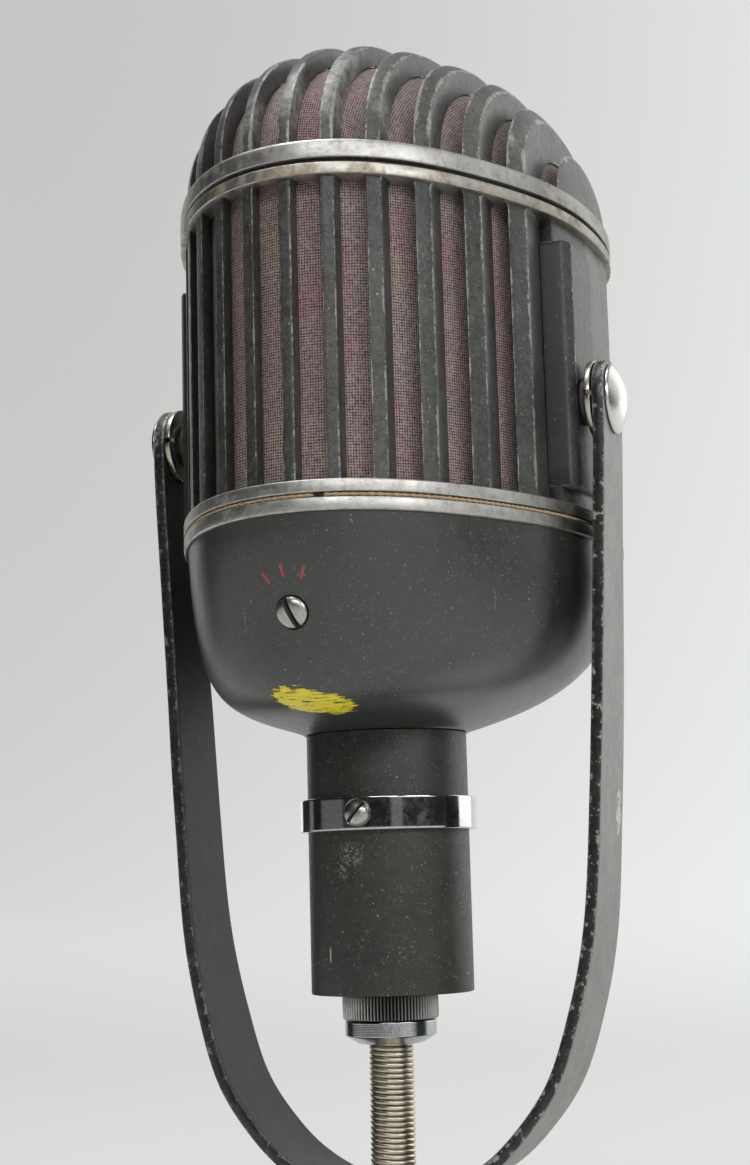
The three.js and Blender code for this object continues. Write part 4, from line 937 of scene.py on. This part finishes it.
v, f = lathe([(0, -1.5), (4.05, -1.5), (4.2, -1.2), (4.2, 3), (0, 3)], 56, rad=0, n=1)
cuts = [(turned(v, SEL_M), f)]
v, f = cyl(2.4, -12, 2, 32); cuts.append((turned(v, SEL_M), f))
v, f = cyl(2.0, 0, 15, 24); cuts.append((turned(v, Matrix.Translation((0, NECK_CY - 27, 111.0)) @ Matrix.Rotation(-math.pi / 2, 4, "X")), f))
boolean(bowl, cuts)
shade(bowl, 32)
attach(bowl, "head"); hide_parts("bowl")

# three plain index marks round the selector
for i, ang in enumerate((-34, -6, 24)):
    a = math.radians(ang)
    pts = fillet([(-0.34, 8.4), (0.34, 8.4), (0.34, 11.6), (-0.34, 11.6)], 0.3, 3)
    c, s_ = math.cos(-a), math.sin(-a)
    q = np.array([[c * x - s_ * y, s_ * x + c * y] for x, y in pts])
    top = turned(np.column_stack([q, np.full(len(q), 3.0)]), SEL_M)
    # drop each point along the selector axis onto the bowl
    ax = np.array(SEL_AXIS)
    dg = bpy.context.evaluated_depsgraph_get()
    ring0, ring1 = [], []
    for p in top:
        hit, loc, nor, _ = bowl.ray_cast(Vector(p * MM + ax * 0.01), Vector(-ax))
        loc = np.array(loc) / MM if hit else p - ax * 3
        nor = np.array(nor) if hit else ax
        ring0.append(loc - nor * 0.12); ring1.append(loc + nor * 0.05)
    v, f = loft(np.array([ring0, ring1]))
    link("selector_mark_%d" % (i + 1), v, f, MAT["red"], body="head", slot="dark_enamel", smooth=50)

# ---------------------------------------------------------------- selector screw
v, f = lathe([(0, 1.5), (1.5, 1.45), (2.7, 1.15), (3.5, 0.65), (3.85, 0.15), (3.85, -1.1), (2.0, -1.1), (2.0, -12.5), (0, -12.5)], 64, rad=[0, .5, .5, .4, .3, .2, .1, .2, 0])
M2 = SEL_M @ Matrix.Rotation(-1.2, 4, "Z")
selo = link("selector_screw_head", turned(v, M2), f, MAT["steel"], smooth=35)
bx = [(-6, -0.72), (6, -0.72), (6, 0.72), (-6, 0.72)]
vb, fb = loft(np.array([[[x, y, -0.35] for x, y in bx], [[x, y, 4] for x, y in bx]]))
boolean(selo, [(turned(vb, M2), fb)]); shade(selo, 35)
paint_slot_shade(selo, M2, 0.72, -0.35)
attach(selo, "selector"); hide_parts("selector_screw")

# ---------------------------------------------------------------- neck
v, f = lathe([(20.2, 67.3), (20.2, 131.1), (18.7, 131.1), (18.7, 69.7), (9.2, 69.7), (9.2, 67.3)], 160, cy=NECK_CY, rad=[0.45, 0.14, 0.2, 0, 0.3, 0.3])
hous = link("plug_housing_tube", v, f, MAT["enamel_housing"], smooth=35, attrs={"edge": np.full(len(v), 9.0)})
bx = [(-0.7, NECK_CY + 15), (0.7, NECK_CY + 15), (0.7, NECK_CY + 25), (-0.7, NECK_CY + 25)]
vb, fb = loft(np.array([[[x, y, 104] for x, y in bx], [[x, y, 133] for x, y in bx]]))
vc, fc = cyl(2.0, 0, 10, 24)
boolean(hous, [(vb, fb), (turned(vc, Matrix.Translation((0, NECK_CY - 24, 111.0)) @ Matrix.Rotation(-math.pi / 2, 4, "X")), fc)])
shade(hous, 35)
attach(hous, "head"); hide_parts("plug_housing")

v, f = lathe([(20.5, 106.9), (22.2, 106.9), (22.2, 107.7), (22.2, 114.2), (22.2, 115.0), (20.5, 115.0)], 160, cy=NECK_CY, rad=[0.2, 0.5, 0, 0, 0.5, 0.2], n=5)
band = link("clamp_band_ring", v, f, MAT["chrome"], smooth=40)
vc, fc = cyl(2.0, 0, 8, 24)
v2, f2 = cyl(3.45, 0, 2.4, 40)
boolean(band, [(turned(vc, Matrix.Translation((0, NECK_CY - 26, 111.0)) @ Matrix.Rotation(-math.pi / 2, 4, "X")), fc),
               (turned(v2, Matrix.Translation((0, NECK_CY - 24.2, 111.0)) @ Matrix.Rotation(-math.pi / 2, 4, "X")), f2)])
shade(band, 40)
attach(band, "head"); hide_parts("clamp_band")

hy = NECK_CY - 22.1
CL_M = Matrix.Translation((0, hy, 111.0)) @ Matrix.Rotation(math.pi / 2, 4, "X") @ Matrix.Rotation(0.85 - math.pi / 2, 4, "Z")
v, f = lathe([(0, 2.1), (1.4, 2.0), (2.5, 1.5), (3.15, 0.6), (3.15, 0.0), (1.6, 0.0), (1.6, -6.2), (0, -6.2)], 48, rad=[0, .4, .4, .3, .1, .05, .1, 0])
scr = link("clamp_screw_head", turned(v, CL_M), f, MAT["steel"], smooth=35)
bx = [(-0.5, -4), (0.5, -4), (0.5, 4), (-0.5, 4)]
vb, fb = loft(np.array([[[x, y, 0.3] for x, y in bx], [[x, y, 4] for x, y in bx]]))
boolean(scr, [(turned(vb, CL_M), fb)]); shade(scr, 35)
paint_slot_shade(scr, CL_M, 0.5, 0.3, 0)
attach(scr, "clamping_screw"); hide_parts("clamp_screw")

# knurled coupling ring
kn = 84
a = np.linspace(0, 2 * np.pi, kn * 6, endpoint=False)
saw = np.abs(((a * kn / (2 * np.pi)) % 1.0) * 2 - 1)
zsec = [(0.6, 60.9), (0.2, 61.1), (0.0, 61.5), (0.0, 66.3), (0.2, 66.7), (0.6, 66.9)]
rings = []
for cut, z in zsec:
    r = np.minimum(11.9 - 0.62 * (1 - saw) ** 0.8, 11.9 - cut)
    rings.append(np.stack([PLUG_X + r * np.cos(a), NECK_CY + r * np.sin(a), np.full_like(a, z)], 1))
for r, z in ((6.4, 66.9), (6.4, 60.9)):
    rings.append(np.stack([PLUG_X + r * np.cos(a), NECK_CY + r * np.sin(a), np.full_like(a, z)], 1))
v, f = loft(np.array(rings), wrap=True)
link("knurled_ring_fluted", v, f, MAT["knurl"], body="coupling_ring", replaces="knurled_ring", slot="bright_steel", smooth=25)

g = [(4.3, 57.1), (5.9, 57.1), (5.9, 55.1), (7.6, 55.1), (8.3, 55.2), (10.9, 56.8), (11.4, 57.15)]
for i in range(7):
    z = 57.5 + i * 0.4
    g += [(11.4, z), (11.27, z + 0.06), (11.27, z + 0.14), (11.4, z + 0.2)]
g += [(11.4, 60.6), (6.1, 60.6), (6.1, 70.0), (12.2, 70.0), (12.2, 71.9), (4.3, 71.9)]
v, f = lathe(g, 128, cx=PLUG_X, cy=NECK_CY, rad=[0.08] * 6 + [0.15] + [0.03] * 28 + [0.15] + [0.1] * 5, n=2)
link("gland_collar_turned", v, f, MAT["collar"], body="head", replaces="gland_collar", slot="chrome", smooth=30)

# close-wound spring guard
wire, pitch, z_top, z_end = 0.62, 1.27, 56.8, 21.0
turns = (z_top - z_end - 2 * wire) / pitch
steps = int(turns * 28)
q = np.linspace(0, 1, steps + 1)
zz = z_top - wire - q * (z_top - z_end - 2 * wire)
fq = (z_top - zz) / (z_top - z_end)
ccx, ccy = PLUG_X + 0.9 * fq ** 2, NECK_CY - 3.4 * fq ** 2
ang = q * turns * 2 * np.pi
R = 5.6 - wire
cx, cy = ccx + R * np.cos(ang), ccy + R * np.sin(ang)
ring = []
for j in range(8):
    b = 2 * np.pi * j / 8
    rr = R + wire * np.cos(b)
    ring.append(np.stack([ccx + rr * np.cos(ang), ccy + rr * np.sin(ang), zz + wire * 1.0 * np.sin(b)], 1))
v, f = loft(np.stack(ring, 1))
link("spring_guard_coil", v, f, MAT["nickel"], body="head", replaces="spring_guard", slot="nickel", smooth=60)

# ---------------------------------------------------------------- pivots
for s in (1, -1):
    side = "right" if s > 0 else "left"
    T = Matrix.Translation((0, 0, PIVOT_Z)) @ Matrix.Rotation(s * math.pi / 2, 4, "Y")
    face = 61.8
    v, f = lathe([(0, face + 3.6), (2.6, face + 3.42), (5.0, face + 2.7), (7.2, face + 1.6), (8.6, face + 0.75), (8.8, face + 0.4), (8.8, face), (2.9, face), (2.9, 48.4), (0, 48.4)], 96,
                 rad=[0, 1.2, 1.2, 1.0, 0.3, 0.2, 0.15, 0.1, 0.2, 0], n=4)
    link("pivot_bolt_dome_" + side, turned(v, T), f, MAT["bolt"], body="head", replaces="pivot_bolt_" + side, slot="chrome", smooth=35)
    v, f = lathe([(3.2, 56.6), (10.0, 56.6), (10.0, 58.15), (3.2, 58.15)], 96, rad=[.1, .35, .35, .1])
    w = link("pivot_washer_slotted_" + side, turned(v, T), f, MAT["washer"], smooth=35)
    bx = [(-0.7, -12), (0.7, -12), (0.7, -7.2), (-0.7, -7.2)]
    vb, fb = loft(np.array([[[x, y, 55] for x, y in bx], [[x, y, 60] for x, y in bx]]))
    boolean(w, [(turned(vb, T), fb)]); shade(w, 35)
    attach(w, "head"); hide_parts("pivot_washer_" + side)
    v, f = lathe([(3.2, 54.6), (6.1, 54.6), (6.1, 55.6), (5.3, 56.3), (3.2, 56.3)], 72, rad=[.05, .1, .5, .5, .05])
    link("pivot_boss_turned_" + side, turned(v, T), f, MAT["enamel_plain"], body="head", replaces="pivot_boss_" + side, slot="dark_enamel", smooth=35)

# ---------------------------------------------------------------- fork
P = [(61.5, 222.1), (61.5, 204.3), (60.4, 180.3), (58.5, 144.3), (56.6, 112.3), (53.9, 81.3), (49.8, 62.3), (43.6, 44.8), (35.0, 32.9), (26.4, 25.0), (14.0, 18.7)]
P = [(x, z) for x, z in P] + [(0, 16.3)] + [(-x, z) for x, z in P[::-1]]


def centripetal(P, per=26):
    P = [np.array(p, float) for p in P]
    P = [2 * P[0] - P[1]] + P + [2 * P[-1] - P[-2]]
    out = []
    for i in range(1, len(P) - 2):
        p0, p1, p2, p3 = P[i - 1:i + 3]
        t0 = 0; t1 = t0 + np.linalg.norm(p1 - p0) ** .5; t2 = t1 + np.linalg.norm(p2 - p1) ** .5; t3 = t2 + np.linalg.norm(p3 - p2) ** .5
        for t in np.linspace(t1, t2, per, endpoint=False):
            a1 = (t1 - t) / (t1 - t0) * p0 + (t - t0) / (t1 - t0) * p1
            a2 = (t2 - t) / (t2 - t1) * p1 + (t - t1) / (t2 - t1) * p2
            a3 = (t3 - t) / (t3 - t2) * p2 + (t - t2) / (t3 - t2) * p3
            b1 = (t2 - t) / (t2 - t0) * a1 + (t - t0) / (t2 - t0) * a2
            b2 = (t3 - t) / (t3 - t1) * a2 + (t - t1) / (t3 - t1) * a3
            out.append((t2 - t) / (t2 - t1) * b1 + (t - t1) / (t2 - t1) * b2)
    out.append(P[-2])
    return np.array(out)


cur = centripetal(P)
d = np.concatenate([[0], np.cumsum(np.hypot(*np.diff(cur, axis=0).T))])
q = np.linspace(0, d[-1], 260)
cur = np.stack([np.interp(q, d, cur[:, 0]), np.interp(q, d, cur[:, 1])], 1)
tan = np.gradient(cur, axis=0); tan /= np.linalg.norm(tan, axis=1)[:, None]
FT = 3.05
rings, edges = [], []
def smoothstep(x, a, b):
    x = np.clip((x - a) / (b - a), 0, 1)
    return x * x * (3 - 2 * x)
def section(px, pz, nx, nz, w, yc=0.0, rr=0.5):
    e1, e2 = min(1.2, w * 0.3), min(3.0, w * 0.6)
    pts = [(-w + rr, 0, .3), (-w + e1, 0, e1), (-w + e2, 0, e2), (0, -0.04, w), (w - e2, 0, e2), (w - e1, 0, e1), (w - rr, 0, .3), (w - .3 * rr, .3 * rr, 0), (w, rr, .3), (w, FT / 2, 1.4), (w, FT - rr, .3), (w - .3 * rr, FT - .3 * rr, 0),
           (w - rr, FT, .3), (w - e1, FT, e1), (w - e2, FT, e2), (0, FT, w), (-w + e2, FT, e2), (-w + e1, FT, e1), (-w + rr, FT, .3), (-w + .3 * rr, FT - .3 * rr, 0), (-w, FT - rr, .3), (-w, FT / 2, 1.4), (-w, rr, .3), (-w + .3 * rr, .3 * rr, 0)]
    return [[px - nx * dp, y + yc, pz - nz * dp] for y, dp, _ in pts], [e for _, _, e in pts]
cap = [0.9995, 0.99, 0.965, 0.93, 0.88, 0.81, 0.72, 0.61, 0.48, 0.33, 0.17]
def add_ring(*a):
    r, e = section(*a); rings.append(r); edges.extend(e)
for c_ in cap:
    w = 9.7 * math.sqrt(1 - c_ * c_)
    add_ring(61.5, PIVOT_Z + 9.8 * c_, 1, 0, w, 0.0, min(.5, w * .3))
for (x, z), (tx, tz) in zip(cur, tan):
    if z > PIVOT_Z:
        continue
    w = 9.7 + 1.6 * float(smoothstep(204 - z, 0, 90)) + 1.5 * float(smoothstep(110 - z, 0, 60))
    yc = 1.7 * float(smoothstep(205 - z, 0, 70)) * (1 - float(smoothstep(75 - z, 0, 50)))
    add_ring(x, z, -tz, tx, w, yc)
for c_ in cap[::-1]:
    w = 9.7 * math.sqrt(1 - c_ * c_)
    add_ring(-61.5, PIVOT_Z + 9.8 * c_, -1, 0, w, 0.0, min(.5, w * .3))
v, f = loft(np.array(rings))
fork = link("fork_strap", v, f, MAT["enamel_fork"], smooth=35, attrs={"edge": np.array(edges)})
vc, fc = cyl(3.2, -80, 80, 40)
vs, fs = lathe([(0, 14.3), (3.2, 14.3), (3.2, 16.45), (6.6, 19.7), (6.6, 23), (0, 23)], 48, rad=0, n=1)
boolean(fork, [(turned(vc, Matrix.Translation((0, 0, PIVOT_Z)) @ Matrix.Rotation(math.pi / 2, 4, "Y")), fc), (vs, fs)])
shade(fork, 35)
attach(fork, "stand_fork"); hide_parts("fork")

# ---------------------------------------------------------------- stand adapter
v, f = lathe([(0, 10.6), (7.8, 10.6), (7.8, 0.5), (8.3, 0), (11.8, 0), (12.6, 0.8), (12.6, 12.6), (10.4, 14.4), (8.2, 16.0), (0, 16.0)], 96, rad=[0, .2, .1, .2, .3, .3, .4, .5, .4, 0])
ad = link("stand_adapter_turned", v, f, MAT["steel"], smooth=35)
vc, fc = cyl(2.9, 9, 18, 32)
boolean(ad, [(vc, fc)]); shade(ad, 35)
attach(ad, "stand_fork"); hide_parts("stand_adapter")

# ---------------------------------------------------------------- carried-over nodes
CARRY = {"steel": ["adapter_screw", "chassis_post_left", "chassis_post_right"],
         "bakelite": ["contact_block", "plug_block", "ribbon_clamp_top", "ribbon_clamp_bottom"],
         "brass": ["contact_pin_1", "contact_pin_2", "contact_pin_3", "contact_pin_4"],
         "alloy": ["chassis_plate", "ribbon_bridge", "ribbon_shelf", "coil_element_grid"],
         "magnet": ["ribbon_magnet", "pole_piece_left", "pole_piece_right", "coil_element_case", "coil_element_magnet", "transformer"],
         "foil": ["ribbon", "diaphragm"],
         "paper": ["selector_rotor", "selector_stator", "terminal_board"]}
for k, names in CARRY.items():
    for nm in names:
        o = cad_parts[nm]
        o.data.materials.clear()
        o.data.materials.append(MAT[k])
        for p in o.data.polygons:
            p.material_index = 0

# ---------------------------------------------------------------- cloth area helper
def area_of(o, outer):
    me = o.data
    return sum(p.area for p in me.polygons if outer(p))

# ---------------------------------------------------------------- studio: a round pale cove, soft lights
n = N("studio_paper")
pp = n.noise(0.0004, 3, 0.6)
sep = n.new("ShaderNodeSeparateXYZ"); n.put(sep.inputs[0], n.pos)
side = n.map(sep.outputs[0], -1500, 700, 0.0, 1.0, smooth=True)
wall = n.map(n.vm("LENGTH", n.pos), 500, 1700, 0.0, 1.0, smooth=True)
low = n.map(sep.outputs[2], 100, 1500, 1.0, 0.0, smooth=True)
n.set(color=n.mix(wall, n.mix(n.map(pp, 0.3, 0.7), (0.21, 0.215, 0.21), (0.23, 0.235, 0.23)), (0.25, 0.255, 0.25)), rough=0.95, spec=0.0)
# painted light: the cove glows, brighter to the right, further out, lower down and towards the back
n.put(n.b.inputs["Emission Color"], n.mix(side, (0.555, 0.565, 0.555), (0.99, 1.01, 0.98)))
n.put(n.b.inputs["Emission Strength"], n.math("MULTIPLY", n.math("MULTIPLY", n.mixf(wall, 0.57, 0.75), n.mixf(low, 1.0, 1.05)),
      n.map(sep.outputs[1], -900, 100, 0.6, 1.0, smooth=True)))
prof = [(0.001, 0), (0.3, 0), (0.7, 0), (1.0, 0.006), (1.3, 0.03), (1.6, 0.08), (1.85, 0.16), (2.1, 0.28), (2.3, 0.43), (2.48, 0.63), (2.62, 0.9), (2.71, 1.25), (2.75, 1.7), (2.75, 2.6)]
ts = np.linspace(0, 2 * np.pi, 96, endpoint=False)
cv, cf = [], []
for r, z in prof:
    cv += [(r * math.cos(a), r * math.sin(a), z) for a in ts]
for i in range(len(prof) - 1):
    for j in range(96):
        k = (j + 1) % 96
        cf.append((i * 96 + j, i * 96 + k, (i + 1) * 96 + k, (i + 1) * 96 + j))
cf.append(tuple(range(96)))
me = bpy.data.meshes.new("studio_floor"); me.from_pydata(cv, [], cf); me.update()
fl = bpy.data.objects.new("studio_floor", me); scene.collection.objects.link(fl)
me.materials.append(n.m); me.shade_smooth()

world = bpy.data.worlds.new("studio"); scene.world = world; world.use_nodes = True
bg = world.node_tree.nodes["Background"]
bg.inputs[0].default_value = (0.86, 0.88, 0.90, 1); bg.inputs[1].default_value = 0.5


def area(name, loc, target, size, size_y, power, col=(1, 1, 1)):
    L = bpy.data.lights.new(name, "AREA"); L.shape = "RECTANGLE"; L.size, L.size_y = size, size_y; L.energy = power; L.color = col
    o = bpy.data.objects.new(name, L); scene.collection.objects.link(o)
    o.location = loc
    o.rotation_euler = (Vector(target) - Vector(loc)).to_track_quat("-Z", "Y").to_euler()
    return o


# dark cloth hung round the camera side, out of the camera's sight, so the front of the metal has something dark to mirror
n = N("black_flag")
sep = n.new("ShaderNodeSeparateXYZ"); n.put(sep.inputs[0], n.pos)
turn = n.math("ARCTAN2", sep.outputs[0], n.math("MULTIPLY", sep.outputs[1], -1.0))
def stripe(deg, half, gain):
    return n.map(n.math("ABSOLUTE", n.math("SUBTRACT", turn, math.radians(deg))), math.radians(half * 0.8), math.radians(half), gain, 0.0)
n.set(color=n.mix(n.noise(0.02, 2), (0.012, 0.012, 0.012), (0.02, 0.02, 0.02)), rough=1.0, spec=0.0)
n.put(n.b.inputs["Emission Color"], (0.95, 0.88, 0.86, 1))
# painted reflections: the flag glows in thin upright strips low down and in a broad band to the right, for the metal to
# mirror as bright streaks
foot = n.map(sep.outputs[2], 200, 280, 1.0, 0.0)
shelf = n.math("MULTIPLY", n.map(sep.outputs[2], 270, 330), n.map(sep.outputs[2], 520, 580, 1.0, 0.0))
n.put(n.b.inputs["Emission Strength"], both(n, n.math("MULTIPLY", foot, both(n, stripe(31, 8, 0.20), stripe(-58, 20, 0.15), stripe(-24, 9, 0.05), stripe(-98, 5, 0.22))),
                                            n.math("MULTIPLY", shelf, stripe(52, 34, 2.0))))
def flag(name, a0, a1, rad, z0, z1):
    """Curved sheet; angles in degrees clockwise from the front, seen from above."""
    v_, f_ = [], []
    m = 24
    for i in range(m + 1):
        a = math.radians(a0 + (a1 - a0) * i / m)
        for z in (z0, z1):
            v_.append((rad * math.sin(a), -rad * math.cos(a), z))
    for i in range(m):
        f_.append((2 * i, 2 * i + 2, 2 * i + 3, 2 * i + 1))
    me = bpy.data.meshes.new(name); me.from_pydata(v_, [], f_); me.update()
    o = bpy.data.objects.new(name, me); scene.collection.objects.link(o)
    me.materials.append(n.m)
    o.visible_camera = False


flag("flag_front", -128, 122, 1.5, 0.02, 1.6)

C = (0, 0, 0.19)
area("front_top", (0.26, -1.06, 0.72), (0, -0.03, 0.2), 0.75, 0.30, 3.6)
area("right_top", (0.95, -0.55, 0.64), (0, -0.03, 0.2), 0.7, 0.30, 3.0)
area("overhead", (-0.25, -0.25, 1.72), C, 0.8, 0.8, 15)
area("back_right", (1.05, 0.85, 0.60), C, 1.5, 1.2, 4.5)
area("back_left", (-1.0, 1.0, 0.6), C, 0.5, 1.0, 1)

# ---------------------------------------------------------------- camera
cam = bpy.data.cameras.new("camera"); co = bpy.data.objects.new("camera", cam); scene.collection.objects.link(co)
cam.sensor_fit = "AUTO"; cam.sensor_width = 36.0; cam.lens = 1969.32 * 36.0 / 1165.0
cam.clip_start, cam.clip_end = 0.01, 50
az, roll = math.radians(20.32), math.radians(-1.5)
fw = Vector((-0.34318958, 0.92658962, 0.15379397)).normalized()
rt = Vector((math.cos(az), math.sin(az), 0)); up = rt.cross(fw)
Rv = rt * math.cos(roll) + up * math.sin(roll); Uv = -rt * math.sin(roll) + up * math.cos(roll)
M = Matrix((Rv, Uv, -fw)).transposed().to_4x4(); M.translation = Vector((0.1715, -0.4713, 0.0927))
co.matrix_world = M
scene.camera = co
